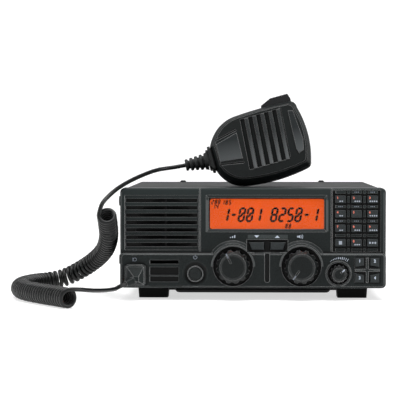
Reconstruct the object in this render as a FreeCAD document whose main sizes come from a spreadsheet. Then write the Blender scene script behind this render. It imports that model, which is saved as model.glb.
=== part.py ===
import FreeCAD
import Part

import math
import os

import Sketcher
from FreeCAD import Placement, Rotation, Vector

# Desktop HF transceiver with its hand microphone, in millimetres.
# X runs to the right, Y to the back and Z up. Z is 0 under the feet, X is 0 midway between the side walls
# and Y is 0 midway between the knob faces and the tip of the antenna socket.

SIZES = {
    # overall
    "knob_reach": 16.5,
    "body_depth": 264.0,
    "socket_reach": 4.5,
    "panel_bottom": 11.1,
    # front panel
    "panel_width": 241.0,
    "panel_height": 90.6,
    "panel_depth": 24.0,
    "panel_corner": 4.0,
    "panel_edge": 1.6,
    "panel_wall": 3.0,
    "band_height": 31.9,
    "band_proud": 3.0,
    "band_bevel": 1.6,
    "recess_depth": 1.2,
    "grille_recess": 0.6,
    "seam_width": 0.8,
    # display
    "display_left_margin": 6.7,
    "display_right_margin": 5.15,
    "display_z": 78.6,
    "bezel_border": 2.5,
    "bezel_height": 33.5,
    "glass_height": 28.2,
    "bezel_depth": 1.8,
    # loudspeaker and its louvres
    "vent_inset": 27.3,
    "vent_margin": 15.1,
    "speaker_inset": 41.3,
    "speaker_z": 66.0,
    "speaker_radius": 28.7,
    "grille_inset": 4.3,
    "grille_width": 67.0,
    "grille_bottom": 45.6,
    "grille_height": 49.4,
    "louvre_pitch": 6.7,
    "louvre_gap": 3.3,
    "louvre_depth": 2.4,
    # rotary controls
    "knob_radius": 15.2,
    "knob_face_radius": 11.4,
    "knob_z": 30.8,
    "channel_inset": 138.4,
    "volume_inset": 76.6,
    "well_radius": 18.0,
    "hood_radius": 23.2,
    "well_rim": 1.6,
    "hood_bevel": 2.4,
    "well_depth": 4.5,
    "tone_inset": 42.9,
    "tone_z": 24.4,
    "tone_radius": 7.8,
    "tone_well": 9.9,
    "tone_rim": 11.9,
    "shaft_radius": 3.0,
    "running_gap": 0.05,
    # power button
    "power_inset": 172.6,
    "power_z": 24.0,
    "power_radius": 5.7,
    "power_ring": 7.6,
    "power_dish": 11.6,
    "power_collar": 6.3,
    # keys
    "key_gap": 0.35,
    "key_travel": 0.8,
    "key_proud": 1.2,
    "flange": 1.0,
    "pad_inset": 26.6,
    "pad_z": 71.9,
    "pad_width": 43.3,
    "pad_height": 55.9,
    "key_pitch_x": 14.55,
    "key_pitch_z": 13.1,
    "key_width": 9.6,
    "key_height": 6.9,
    "arrow_z": 49.2,
    "arrow_width": 13.6,
    "arrow_height": 6.8,
    "arrow_left_reach": 21.3,
    "arrow_right_reach": 21.0,
    "soft_inset": 17.1,
    "soft_z": 27.6,
    "soft_near": 2.8,
    "soft_far": 11.0,
    "soft_low": 2.8,
    "soft_high": 11.2,
    # covers and chassis
    "cover_width": 238.0,
    "cover_corner": 4.0,
    "cover_drop": 0.5,
    "sheet": 1.5,
    "seam_z": 44.0,
    "base_z": 12.0,
    "fit": 0.3,
    "cast_wall": 2.5,
    "deck_z": 46.0,
    "rear_wall_inset": 18.0,
    "rear_wall": 3.0,
    "screw_radius": 1.5,
    "screw_head": 3.0,
    "bracket_z": 57.0,
    "bracket_span": 60.0,
    "bracket_hole": 2.1,
    # boards
    "board": 1.6,
    "front_board_gap": 7.4,
    "main_board_inset": 13.0,
    "main_board_depth": 176.0,
    "standoff": 6.0,
    # rear
    "sink_width": 146.0,
    "sink_height": 50.0,
    "fin_pitch": 6.0,
    "fin": 1.6,
    "fan_x": 76.0,
    "fan_size": 50.0,
    "fan_depth": 18.0,
    "fan_bore": 23.5,
    "antenna_x": -98.0,
    "antenna_z": 29.0,
    "antenna_radius": 7.94,
    "antenna_bore": 5.8,
    "ground_x": -70.0,
    "ground_radius": 2.5,
    "dc_x": 84.0,
    "dc_width": 22.0,
    "dc_height": 13.0,
    "din_x": 40.0,
    "din_bore": 6.6,
    "jack_x": -40.0,
    "jack_pitch": 18.0,
    "jack_bore": 1.8,
    # feet and stand
    "foot_x": 91.5,
    "foot_width": 28.5,
    "foot_depth": 26.0,
    "rear_foot_radius": 9.0,
    "rear_foot_y": 108.0,
    "buffer_radius": 5.3,
    "buffer_height": 4.4,
    "stand_radius": 2.2,
    "stand_z": 7.7,
    "stand_reach": 28.0,
    "stand_half": 70.0,
    # microphone
    "mic_half_length": 47.5,
    "mic_half_width": 36.0,
    "mic_front_depth": 16.0,
    "mic_back_depth": 17.0,
    "mic_wall": 2.6,
    "mic_face_inset": 5.0,
    "mic_back_inset": 7.0,
    "mic_x": 7.6,
    "mic_y": -62.0,
    "mic_tilt": 11.0,
    "mic_lean": 11.0,
    "mic_rib_pitch": 7.7,
    "mic_groove": 4.1,
    "mic_exit_v": -5.0,
    "relief_length": 26.0,
    # cord
    "wire": 3.8,
    "coil_upper_radius": 7.0,
    "coil_lower_radius": 7.2,
    "coil_close_pitch": 4.6,
    "coil_open_pitch": 6.0,
    "coil_gap": 0.9,
    "plug_inset": 14.1,
    "plug_z": 22.7,
    "plug_width": 19.3,
    "plug_height": 20.2,
    "plug_reach": 10.5,
}

DOC = FreeCAD.newDocument("transceiver")
SHEET = DOC.addObject("Spreadsheet::Sheet", "Sizes")


class Size:
    """A length, with the sheet formula that it comes from."""

    def __init__(self, value, formula):
        self.value = float(value)
        self.formula = formula

    def __float__(self):
        return self.value

    def join(self, other, sign, value, flip=False):
        """A new Size whose formula joins this one and another size or number."""
        left, right = (other, self) if flip else (self, other)
        return Size(value, f"({formula_of(left)} {sign} {formula_of(right)})")

    def __add__(self, other):
        return self.join(other, "+", self.value + float(other))

    def __radd__(self, other):
        return self.join(other, "+", float(other) + self.value, True)

    def __sub__(self, other):
        return self.join(other, "-", self.value - float(other))

    def __rsub__(self, other):
        return self.join(other, "-", float(other) - self.value, True)

    def __mul__(self, other):
        return self.join(other, "*", self.value * float(other))

    def __rmul__(self, other):
        return self.join(other, "*", float(other) * self.value, True)

    def __truediv__(self, other):
        return self.join(other, "/", self.value / float(other))

    def __neg__(self):
        return Size(-self.value, f"(0 - {self.formula})")


def formula_of(size):
    """The sheet formula of a Size, or a plain number as text."""
    return size.formula if isinstance(size, Size) else f"{float(size):.6f}"


class Sheet:
    """Reads the driving dimensions back from the spreadsheet by name."""

    def __init__(self):
        for row, (name, value) in enumerate(SIZES.items(), 1):
            SHEET.set(f"A{row}", name)
            SHEET.set(f"B{row}", str(value))
            SHEET.setAlias(f"B{row}", name)
        DOC.recompute()

    def __getattr__(self, name):
        return Size(getattr(SHEET, name), f"Sizes.{name}")


S = Sheet()

# Places that several pieces share.
FACE_Y = S.knob_reach - (S.knob_reach + S.body_depth + S.socket_reach) / 2
BAND_Y = FACE_Y - S.band_proud
WALL_BACK_Y = FACE_Y + S.panel_wall
BAND_BACK_Y = BAND_Y + S.panel_wall
PANEL_BACK_Y = FACE_Y + S.panel_depth
PANEL_TOP = S.panel_bottom + S.panel_height
LEDGE_Z = S.panel_bottom + S.band_height
KNOB_FACE_Y = FACE_Y - S.knob_reach
WELL_Y = BAND_Y + S.well_depth
COVER_TOP = PANEL_TOP - S.cover_drop
COVER_FRONT_Y = PANEL_BACK_Y + S.fit
COVER_BACK_Y = FACE_Y + S.body_depth
CHASSIS_HALF = S.cover_width / 2 - S.sheet - S.fit
CHASSIS_TOP = COVER_TOP - S.sheet - S.fit
CHASSIS_BOTTOM = S.base_z + S.sheet + S.fit
REAR_Y = COVER_BACK_Y - S.rear_wall_inset
BOARD_FRONT_Y = WALL_BACK_Y + S.front_board_gap
BOARD_BACK_Y = BOARD_FRONT_Y + S.board
MAIN_BOARD_WIDTH = S.cover_width - 2 * S.main_board_inset
# Across the panel: the plug, the vent and the loudspeaker keep to its left edge, the controls to its right edge.
RIGHT_EDGE = S.panel_width / 2
PLUG_X = S.plug_inset - S.panel_width / 2
SPEAKER_X = S.speaker_inset - S.panel_width / 2
GRILLE_LEFT = S.grille_inset - S.panel_width / 2
POWER_X = RIGHT_EDGE - S.power_inset
VENT_LEFT = S.vent_inset - S.panel_width / 2
VENT_WIDTH = POWER_X - S.vent_margin - VENT_LEFT
CHANNEL_X = RIGHT_EDGE - S.channel_inset
VOLUME_X = RIGHT_EDGE - S.volume_inset
ARROW_LEFT_X = CHANNEL_X + S.arrow_left_reach
ARROW_RIGHT_X = VOLUME_X - S.arrow_right_reach
TONE_X = RIGHT_EDGE - S.tone_inset
SOFT_X = RIGHT_EDGE - S.soft_inset
PAD_X = RIGHT_EDGE - S.pad_inset
BEZEL_LEFT = GRILLE_LEFT + S.grille_width + S.display_left_margin
BEZEL_WIDTH = PAD_X - S.pad_width / 2 - S.display_right_margin - BEZEL_LEFT
DISPLAY_X = BEZEL_LEFT + BEZEL_WIDTH / 2
GLASS_WIDTH = BEZEL_WIDTH - 2 * S.bezel_border
FAN_Z = S.deck_z + 0.1 + S.fan_size / 2
FOOT_FRONT_Y = PANEL_BACK_Y + S.fit

PARTS = {}


def bind(thing, **properties):
    """Set properties from sizes; a double underscore in a name stands for a dot."""
    for name, size in properties.items():
        thing.setExpression(name.replace("__", "."), formula_of(size))
    return thing


def place(thing, x, y, z):
    """Bind a shape's base point to sizes."""
    thing.setExpression("Placement.Base.x", formula_of(x))
    thing.setExpression("Placement.Base.y", formula_of(y))
    thing.setExpression("Placement.Base.z", formula_of(z))
    return thing


def box(x, y, z, wide, deep, tall):
    """A block from its lowest corner."""
    block = DOC.addObject("Part::Box", "block")
    bind(block, Length=wide, Width=deep, Height=tall)
    return place(block, x, y, z)


TURN = {
    "x": Rotation(Vector(0, 1, 0), 90),
    "y": Rotation(Vector(1, 0, 0), -90),
    "z": Rotation(),
}


def rod(x, y, z, radius, length, axis="y"):
    """A round bar from the centre of its first end."""
    bar = DOC.addObject("Part::Cylinder", "bar")
    bar.Placement = Placement(Vector(), TURN[axis])
    bind(bar, Radius=radius, Height=length)
    return place(bar, x, y, z)


def cone(x, y, z, first, last, length, axis="y"):
    """A tapered round bar from the centre of its first end."""
    bar = DOC.addObject("Part::Cone", "taper")
    bar.Placement = Placement(Vector(), TURN[axis])
    bind(bar, Radius1=first, Radius2=last, Height=length)
    return place(bar, x, y, z)


def taper(x, z, y_front, y_back, front, back):
    """A block whose front and back rectangles, each a width and a height, differ, centred on x and z."""
    block = DOC.addObject("Part::Wedge", "taper")
    bind(block, Xmin=x - front[0] / 2, Xmax=x + front[0] / 2, Zmin=z - front[1] / 2, Zmax=z + front[1] / 2,
         X2min=x - back[0] / 2, X2max=x + back[0] / 2, Z2min=z - back[1] / 2, Z2max=z + back[1] / 2,
         Ymin=y_front, Ymax=y_back)
    return block


def ring(x, y, z, radius, thickness, axis="y"):
    """A torus around an axis through its centre."""
    hoop = DOC.addObject("Part::Torus", "hoop")
    hoop.Placement = Placement(Vector(), TURN[axis])
    bind(hoop, Radius1=radius, Radius2=thickness)
    return place(hoop, x, y, z)


def raw(shape):
    """A shape made with Part's own functions."""
    thing = DOC.addObject("Part::Feature", "form")
    thing.Shape = shape
    return thing


def fuse(*things):
    """One solid of several that touch."""
    joined = DOC.addObject("Part::MultiFuse", "joined")
    joined.Shapes = list(things)
    joined.Refine = True
    return joined


def cut(base, *tools):
    """The base without the tools."""
    result = DOC.addObject("Part::Cut", "cut")
    result.Base = base
    result.Tool = tools[0] if len(tools) == 1 else group(*tools)
    return result


def common(base, tool):
    """What two solids share."""
    result = DOC.addObject("Part::Common", "common")
    result.Base = base
    result.Tool = tool
    return result


def group(*things):
    """Several solids kept apart in one object."""
    bunch = DOC.addObject("Part::Compound", "group")
    bunch.Links = list(things)
    return bunch


def part(name, thing):
    """Give a finished sub-part its own label, under which it is written."""
    thing.Label = name
    PARTS[name] = thing
    return thing


def new_body():
    """An empty PartDesign body."""
    return DOC.addObject("PartDesign::Body", "body")


def sketch(body, plane, offset):
    """An empty sketch on one of the body's own planes, moved along its normal."""
    drawing = body.newObject("Sketcher::SketchObject", "sketch")
    support = next(item for item in body.Origin.OriginFeatures if item.Role == plane + "_Plane")
    drawing.AttachmentSupport = (support, [""])
    drawing.MapMode = "FlatFace"
    drawing.setExpression("AttachmentOffset.Base.z", formula_of(offset))
    return drawing


def front_sketch(body, y):
    """A sketch that faces the front at a depth; pads from it grow forwards."""
    return sketch(body, "XZ", -y)


def measure(drawing, kind, *where, size):
    """A named sketch dimension bound to a size."""
    index = drawing.addConstraint(Sketcher.Constraint(kind, *where, float(size)))
    name = f"size{index}"
    drawing.renameConstraint(index, name)
    drawing.setExpression("Constraints." + name, formula_of(size))


def draw_rect(drawing, left, low, wide, tall, radius):
    """A rectangle with four round corners."""
    x0, z0, r = float(left), float(low), float(radius)
    x1, z1 = x0 + float(wide), z0 + float(tall)
    first = drawing.GeometryCount
    lines = [((x0 + r, z0), (x1 - r, z0)), ((x1, z0 + r), (x1, z1 - r)),
             ((x1 - r, z1), (x0 + r, z1)), ((x0, z1 - r), (x0, z0 + r))]
    centres = [(x1 - r, z0 + r), (x1 - r, z1 - r), (x0 + r, z1 - r), (x0 + r, z0 + r)]
    for turn, (line, centre) in enumerate(zip(lines, centres)):
        start, end = (Vector(*point, 0) for point in line)
        drawing.addGeometry(Part.LineSegment(start, end), False)
        circle = Part.Circle(Vector(*centre, 0), Vector(0, 0, 1), r)
        begin = math.pi / 2 * (turn - 1)
        drawing.addGeometry(Part.ArcOfCircle(circle, begin, begin + math.pi / 2), False)
    for turn in range(4):
        line, arc, following = first + 2 * turn, first + 2 * turn + 1, first + (2 * turn + 2) % 8
        drawing.addConstraint(Sketcher.Constraint("Tangent", line, 2, arc, 1))
        drawing.addConstraint(Sketcher.Constraint("Tangent", arc, 2, following, 1))
        kind = "Horizontal" if turn % 2 == 0 else "Vertical"
        drawing.addConstraint(Sketcher.Constraint(kind, line))
        if turn:
            drawing.addConstraint(Sketcher.Constraint("Equal", first + 1, arc))
    measure(drawing, "Radius", first + 1, size=radius)
    measure(drawing, "DistanceX", -1, 1, first + 6, 1, size=left)
    measure(drawing, "DistanceY", -1, 1, first, 1, size=low)
    measure(drawing, "DistanceX", -1, 1, first + 2, 1, size=left + wide)
    measure(drawing, "DistanceY", -1, 1, first + 4, 1, size=low + tall)
    return drawing


def draw_outline(drawing, points):
    """A closed outline of straight lines through points given as pairs of sizes."""
    first = drawing.GeometryCount
    spots = [Vector(float(x), float(z), 0) for x, z in points]
    count = len(spots)
    for index in range(count):
        line = Part.LineSegment(spots[index], spots[(index + 1) % count])
        drawing.addGeometry(line, False)
    for index in range(count):
        following = first + (index + 1) % count
        drawing.addConstraint(Sketcher.Constraint("Coincident", first + index, 2, following, 1))
    for index, (x, z) in enumerate(points):
        measure(drawing, "DistanceX", -1, 1, first + index, 1, size=x)
        measure(drawing, "DistanceY", -1, 1, first + index, 1, size=z)
    return drawing


def draw_circle(drawing, x, z, radius):
    """A circle about a centre."""
    centre = Vector(float(x), float(z), 0)
    index = drawing.addGeometry(Part.Circle(centre, Vector(0, 0, 1), float(radius)), False)
    measure(drawing, "DistanceX", -1, 1, index, 3, size=x)
    measure(drawing, "DistanceY", -1, 1, index, 3, size=z)
    measure(drawing, "Radius", index, size=radius)
    return drawing


def pad(body, drawing, length, backwards=False):
    """Grow the sketch into the body."""
    feature = body.newObject("PartDesign::Pad", "pad")
    feature.Profile = drawing
    bind(feature, Length=length)
    feature.Reversed = backwards
    return feature


def pocket(body, drawing, depth, forwards=False):
    """Cut the sketch out of the body and check that something was cut."""
    DOC.recompute()
    before = body.Shape.Volume
    feature = body.newObject("PartDesign::Pocket", "pocket")
    feature.Profile = drawing
    bind(feature, Length=depth)
    feature.Reversed = forwards
    DOC.recompute()
    assert body.Shape.Volume < before - 0.01, "a pocket cut nothing"
    return feature


def revolve(body, drawing, whole=360.0):
    """Turn the sketch about its own vertical axis."""
    feature = body.newObject("PartDesign::Revolution", "turned")
    feature.Profile = drawing
    feature.ReferenceAxis = (drawing, ["V_Axis"])
    feature.Angle = whole
    return feature


def edges_where(body, test):
    """Names of the body's edges that pass a test, after a rebuild."""
    DOC.recompute()
    return [f"Edge{index}" for index, edge in enumerate(body.Shape.Edges, 1) if test(edge)]


def soften(body, kind, size, test):
    """Fillet or chamfer the edges of the body that pass a test."""
    names = edges_where(body, test)
    assert names, "no edge to soften"
    last = body.Tip
    feature = body.newObject("PartDesign::" + kind, "edge")
    feature.Base = (last, names)
    if kind == "Fillet":
        bind(feature, Radius=size)
    else:
        bind(feature, Size=size)
    return feature


def at_y(y, slack=0.01):
    """A test for edges that lie wholly at one depth."""
    spot = float(y)

    def test(edge):
        bounds = edge.BoundBox
        return abs(bounds.YMin - spot) < slack and abs(bounds.YMax - spot) < slack

    return test


def polar(body, feature, count, axis):
    """Repeat a feature around one of the body's own axes."""
    pattern = body.newObject("PartDesign::PolarPattern", "around")
    pattern.Originals = [feature]
    line = next(item for item in body.Origin.OriginFeatures if item.Role == axis + "_Axis")
    pattern.Axis = (line, [""])
    pattern.Angle = 360.0
    pattern.Occurrences = count
    body.Tip = pattern
    return pattern


def row(body, feature, direction, count, length):
    """Repeat a feature in a straight row of a given overall length."""
    pattern = body.newObject("PartDesign::LinearPattern", "row")
    pattern.Originals = [feature]
    line = next(item for item in body.Origin.OriginFeatures if item.Role == direction + "_Axis")
    pattern.Direction = (line, [""])
    bind(pattern, Length=length)
    pattern.Occurrences = count
    body.Tip = pattern
    return pattern


def tube(points, radius, first_run=None):
    """A round tube along straight runs joined by tangent arcs; returns the solid and its least radius."""
    edges, radii, start = [], [], points[0]
    for before, corner, after in zip(points, points[1:], points[2:]):
        back, onward = before - corner, after - corner
        half = (math.pi - back.getAngle(onward)) / 2
        trim = 0.45 * min(back.Length, onward.Length)
        radii.append(trim / math.tan(half))
        back.normalize()
        onward.normalize()
        first, last = corner + back * trim, corner + onward * trim
        middle = back + onward
        middle.normalize()
        reach = radii[-1] / math.cos(half) - radii[-1]
        edges.append(Part.LineSegment(start, first).toShape())
        edges.append(Part.Arc(first, corner + middle * reach, last).toShape())
        start = last
    edges.append(Part.LineSegment(start, points[-1]).toShape())
    path = Part.Wire(edges)
    along = points[1] - points[0]
    ring_wire = Part.Wire([Part.Circle(points[0], along, radius).toShape()])
    solid = path.makePipeShell([ring_wire], True, False)
    share = solid.Volume / (math.pi * radius**2 * path.Length)
    print(f"tube: length {path.Length:.1f}, volume share {share:.4f}, radii "
          + " ".join(f"{radius:.0f}" for radius in radii))
    return solid


# Front panel


def hole_pair():
    """Centres of the two large knobs."""
    return (CHANNEL_X, S.knob_z), (VOLUME_X, S.knob_z)


def key_places():
    """Centre of each keypad key by its digit name, from the top left."""
    names = ["one", "two", "three", "four", "five", "six", "seven", "eight", "nine", "star", "zero", "hash"]
    places = {}
    for index, name in enumerate(names):
        across, down = index % 3 - 1, index // 3
        places[name] = (PAD_X + across * S.key_pitch_x, S.pad_z + (1.5 - down) * S.key_pitch_z)
    return places


def arrow_places():
    """Centre of each of the two arrow keys."""
    return {"down": (ARROW_LEFT_X, S.arrow_z), "up": (ARROW_RIGHT_X, S.arrow_z)}


def arrow_corners(name, grow=0.0):
    """Corners of an arrow key, whose outer end slants below."""
    x, z = arrow_places()[name]
    outward = -1 if name == "down" else 1
    inner, outer = x - outward * (S.arrow_width / 2 + grow), x + outward * (S.arrow_width / 2 + grow)
    top, low = z + S.arrow_height / 2 + grow, z - S.arrow_height / 2 - grow
    return [(inner, top), (outer, top), (outer - outward * 2.4, low), (inner, low)]


def soft_corners(side, level, grow=0.0):
    """Corners of one of the four soft keys round their cross, side and level being -1 or 1."""
    x_near = SOFT_X + side * (S.soft_near - grow)
    x_far = SOFT_X + side * (S.soft_far + grow)
    z_high = S.soft_z + level * (S.soft_high + grow)
    z_near = S.soft_z + level * (S.soft_low - grow)
    z_far = S.soft_z + level * (S.soft_low + 1.6 - grow)
    return [(x_near, z_far), (x_near, z_high), (x_far, z_high), (x_far, z_near)]


SOFT_SIDES = {"soft_upper_left": (-1, 1), "soft_upper_right": (1, 1), "soft_lower_left": (-1, -1), "soft_lower_right": (1, -1)}


def panel_shell():
    """The moulded panel with its proud band, hoods and hollow back."""
    body = new_body()
    left = -S.panel_width / 2
    outline = front_sketch(body, PANEL_BACK_Y)
    draw_rect(outline, left, S.panel_bottom, S.panel_width, S.panel_height, S.panel_corner)
    pad(body, outline, S.panel_depth)
    soften(body, "Fillet", S.panel_edge, at_y(FACE_Y))
    band = front_sketch(body, FACE_Y + S.panel_wall)
    draw_rect(band, left, S.panel_bottom, S.panel_width, S.band_height, S.panel_corner)
    pad(body, band, S.panel_wall + S.band_proud)
    soften(body, "Chamfer", S.band_bevel, at_y(BAND_Y))
    cavity = front_sketch(body, PANEL_BACK_Y)
    draw_rect(cavity, left + S.panel_wall, S.panel_bottom + S.panel_wall, S.panel_width - 2 * S.panel_wall,
              S.panel_height - 2 * S.panel_wall, S.panel_corner - 1)
    pocket(body, cavity, S.panel_depth - S.panel_wall, forwards=True)
    hollow = front_sketch(body, WALL_BACK_Y)
    draw_rect(hollow, left + S.panel_wall, S.panel_bottom + S.panel_wall, S.panel_width - 2 * S.panel_wall,
              S.band_height - 2 * S.panel_wall, S.panel_corner - 1)
    pocket(body, hollow, S.band_proud, forwards=True)
    return body


def hood(x, z):
    """The bevelled half collar that carries the band up round a large knob."""
    slope = cone(x, BAND_Y, z, S.hood_radius - S.hood_bevel, S.hood_radius, S.hood_bevel)
    drum = rod(x, BAND_Y + S.hood_bevel, z, S.hood_radius, S.band_proud + 1 - S.hood_bevel)
    reach = S.hood_radius + 1
    return common(fuse(slope, drum), box(x - reach, BAND_Y - 1, LEDGE_Z - 4, 2 * reach, 10, reach))


def louvre_cuts():
    """Seven shallow slots, cut right through inside the loudspeaker's circle beside a centre rib."""
    shallow, deep = [], []
    for index in range(7):
        z = S.grille_bottom + S.louvre_gap / 2 + (index + 0.45) * S.louvre_pitch - S.louvre_gap / 2
        shallow.append(box(GRILLE_LEFT + 1, FACE_Y - 1, z, S.grille_width - 2, S.louvre_depth + 1, S.louvre_gap))
        deep.append(box(GRILLE_LEFT + 1, FACE_Y, z, S.grille_width - 2, S.panel_wall + 1, S.louvre_gap))
    sound = rod(SPEAKER_X, FACE_Y - 1, S.speaker_z, S.speaker_radius - 1.5, S.panel_wall + 3)
    rib = box(SPEAKER_X - 0.8, FACE_Y - 2, S.grille_bottom, 1.6, S.panel_wall + 5, S.grille_height)
    return shallow + [cut(common(group(*deep), sound), rib)]


def front_panel():
    """Panel shell with its wells, recesses, windows and key holes."""
    shell = panel_shell()
    cups, cuts = [], louvre_cuts()
    for x, z in hole_pair():
        cups.append(hood(x, z))
        cups.append(rod(x, BAND_BACK_Y, z, S.well_radius + 1.5, S.panel_wall))
        cups.append(well_rim(x, z))
        cuts.append(rod(x, BAND_Y - 1, z, S.well_radius, S.well_depth + 1))
        cuts.append(rod(x, BAND_Y, z, S.shaft_radius + 0.7, 12))
    cups.append(rod(TONE_X, BAND_BACK_Y, S.tone_z, S.tone_well + 1.5, S.panel_wall))
    cups.append(cone(TONE_X, BAND_Y - 0.6, S.tone_z, S.tone_rim - 0.7, S.tone_rim, 0.7))
    cuts.append(rod(TONE_X, BAND_Y - 1, S.tone_z, S.tone_well, S.well_depth + 1))
    cuts.append(rod(TONE_X, BAND_Y, S.tone_z, S.shaft_radius + 0.7, 12))
    cuts.append(cone(POWER_X, BAND_Y - 0.01, S.power_z, S.power_dish, S.power_ring, 1.2))
    cuts.append(rod(POWER_X, BAND_Y - 1, S.power_z, S.power_radius + S.key_gap, S.panel_wall + 2))
    cuts.append(taper(DISPLAY_X, S.display_z, FACE_Y - 0.01, FACE_Y + S.bezel_depth,
                      (BEZEL_WIDTH, S.bezel_height), (GLASS_WIDTH, S.glass_height)))
    cuts.append(box(DISPLAY_X - GLASS_WIDTH / 2, FACE_Y, S.display_z - S.glass_height / 2,
                    GLASS_WIDTH, S.panel_wall + 1, S.glass_height))
    cuts.append(box(GRILLE_LEFT, FACE_Y - 1, S.grille_bottom, S.grille_width, S.grille_recess + 1, S.grille_height))
    cuts.append(box(PAD_X - S.pad_width / 2, FACE_Y - 1, S.pad_z - S.pad_height / 2,
                    S.pad_width, S.recess_depth + 1, S.pad_height))
    for x, z in key_places().values():
        cuts.append(key_hole(x, z, S.key_width, S.key_height, FACE_Y))
    arrow_middle = (ARROW_LEFT_X + ARROW_RIGHT_X) / 2
    arrow_span = ARROW_RIGHT_X - ARROW_LEFT_X + S.arrow_width + 4
    cuts.append(box(arrow_middle - arrow_span / 2, BAND_Y - 1, LEDGE_Z + 0.6, arrow_span,
                    S.band_proud + S.recess_depth + 1, 11.4))
    for name in arrow_places():
        cuts.append(outline_block(arrow_corners(name, S.key_gap), FACE_Y - 0.5, S.panel_wall + 1.5))
    for side, level in SOFT_SIDES.values():
        cuts.append(outline_block(soft_corners(side, level, S.key_gap), BAND_Y - 1, S.panel_wall + 2))
    cuts.append(groove_block())
    for x in (GRILLE_LEFT + S.grille_width + 0.9, PAD_X - S.pad_width / 2 - 1.2):
        cuts.append(box(x, FACE_Y - 1, LEDGE_Z - 1, S.seam_width, 1.7, PANEL_TOP))
    for low, tall, depth in ((33.0, 3.3, 6.0), (22.8, 7.2, 1.6), (16.8, 4.7, 1.6)):
        cuts.append(box(VENT_LEFT, BAND_Y - 1, low, VENT_WIDTH, depth + 1, tall))
    cuts.append(box(PLUG_X - 6.2, BAND_Y - 1, S.plug_z - 5.2, 12.4, S.panel_wall + 2, 10.4))
    lugs = [rod(8 - S.panel_width / 2, WALL_BACK_Y - 0.5, z, 4, S.panel_depth - S.panel_wall + 0.5)
            for z in (LEDGE_Z - 3, PANEL_TOP - 8)]
    collar = rod(POWER_X, BAND_Y - 0.4, S.power_z, S.power_collar + 1, 2)
    collar = cut(collar, rod(POWER_X, BAND_Y - 1, S.power_z, S.power_collar, 4))
    part("front_panel", fuse(cut(fuse(shell, *cups, *lugs, cross_ridge()), *cuts), collar, *keypad_relief()))


def key_hole(x, z, wide, tall, y):
    """A through hole a little larger than a key."""
    return box(x - wide / 2 - S.key_gap, y, z - tall / 2 - S.key_gap, wide + 2 * S.key_gap,
               S.panel_wall + 1, tall + 2 * S.key_gap)


def outline_block(corners, y, depth):
    """A block from an outline on the front, going back from a depth."""
    body = new_body()
    drawing = front_sketch(body, y)
    draw_outline(drawing, corners)
    pad(body, drawing, depth, backwards=True)
    return body


def well_rim(x, z):
    """The thin raised rim round the upper half of a large knob's well."""
    outer = S.well_radius + S.well_rim
    rim = cut(cone(x, BAND_Y - 0.7, z, outer - 0.7, outer, 0.8), rod(x, BAND_Y - 1, z, S.well_radius, 2))
    return common(rim, box(x - outer - 1, BAND_Y - 1, z, 2 * outer + 2, 2, outer + 1))


def keypad_relief():
    """Label bars between the rows of keys, and bosses and upright ridges between the columns."""
    floor, proud = FACE_Y + S.recess_depth, S.recess_depth - 0.4
    pieces = []
    for level in range(-2, 3):
        z = S.pad_z + level * S.key_pitch_z
        for across in (-1, 0, 1):
            x = PAD_X + across * S.key_pitch_x
            pieces.append(box(x - S.key_width / 2 + 0.3, floor - proud, z - 1.3, S.key_width - 0.6, proud + 0.3, 2.6))
        for side in (-0.5, 0.5):
            x = PAD_X + side * S.key_pitch_x
            pieces.append(cone(x, floor - proud, z, 1.5, 1.9, proud + 0.3))
            if level < 2:
                pieces.append(box(x - 1.1, floor - proud, z + S.key_pitch_z / 2 - 2.9, 2.2, proud + 0.3, 5.8))
    return pieces


def cross_ridge():
    """The low cross that parts the four soft keys."""
    flat = box(SOFT_X - S.soft_far, BAND_Y - 0.8, S.soft_z - 1.1, 2 * S.soft_far, 1.0, 2.2)
    upright = box(SOFT_X - 1.1, BAND_Y - 0.8, S.soft_z - S.soft_high, 2.2, 1.0, 2 * S.soft_high)
    return fuse(flat, upright)


def groove_block():
    """The round-ended groove down the middle of the band."""
    x, low = (CHANNEL_X + VOLUME_X) / 2, S.panel_bottom + 7.4
    shaft = box(x - 2.1, BAND_Y - 1, low, 4.2, 2.4, LEDGE_Z - low + 1)
    return group(fuse(shaft, rod(x, BAND_Y - 1, low, 2.1, 2.4)))


# Display


def display():
    """Clear window at the foot of its bevel, with the glass and the light guide behind the wall."""
    left, low = DISPLAY_X - BEZEL_WIDTH / 2, S.display_z - S.bezel_height / 2
    plate = box(DISPLAY_X - GLASS_WIDTH / 2, FACE_Y + S.bezel_depth, S.display_z - S.glass_height / 2,
                GLASS_WIDTH, 1.0, S.glass_height)
    part("display_window", plate)
    glass = box(left + 1, WALL_BACK_Y, low + 1, BEZEL_WIDTH - 2, 2.6, S.bezel_height - 2)
    part("display_glass", glass)
    light_y = WALL_BACK_Y + 2.6
    guide = box(left + 1, light_y, low + 1, BEZEL_WIDTH - 2, S.front_board_gap - 2.6, S.bezel_height - 2)
    part("display_light", guide)


# Keys


def key_cap(name, drawing_of, y_wall, y_wall_back, proud):
    """A cap through the panel wall with a flange that the wall holds back; drawing_of(sketch, grow) draws it."""
    body = new_body()
    cap_back = y_wall_back + 0.1
    cap = front_sketch(body, cap_back)
    drawing_of(cap, 0.0)
    pad(body, cap, cap_back - y_wall + proud)
    soften(body, "Fillet", 0.7, at_y(y_wall - proud))
    flange = front_sketch(body, cap_back)
    drawing_of(flange, S.flange)
    pad(body, flange, 1.0, backwards=True)
    part(name, body)


def rect_key(x, z, wide, tall):
    """How to draw a rectangular key at any growth."""

    def draw(drawing, grow):
        draw_rect(drawing, x - wide / 2 - grow, z - tall / 2 - grow, wide + 2 * grow, tall + 2 * grow, 0.8)

    return draw


def arrow_key(name):
    """How to draw an arrow key at any growth."""

    def draw(drawing, grow):
        draw_outline(drawing, arrow_corners(name, grow))

    return draw


def soft_key(side, level):
    """How to draw a soft key at any growth."""

    def draw(drawing, grow):
        draw_outline(drawing, soft_corners(side, level, grow))

    return draw


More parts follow.
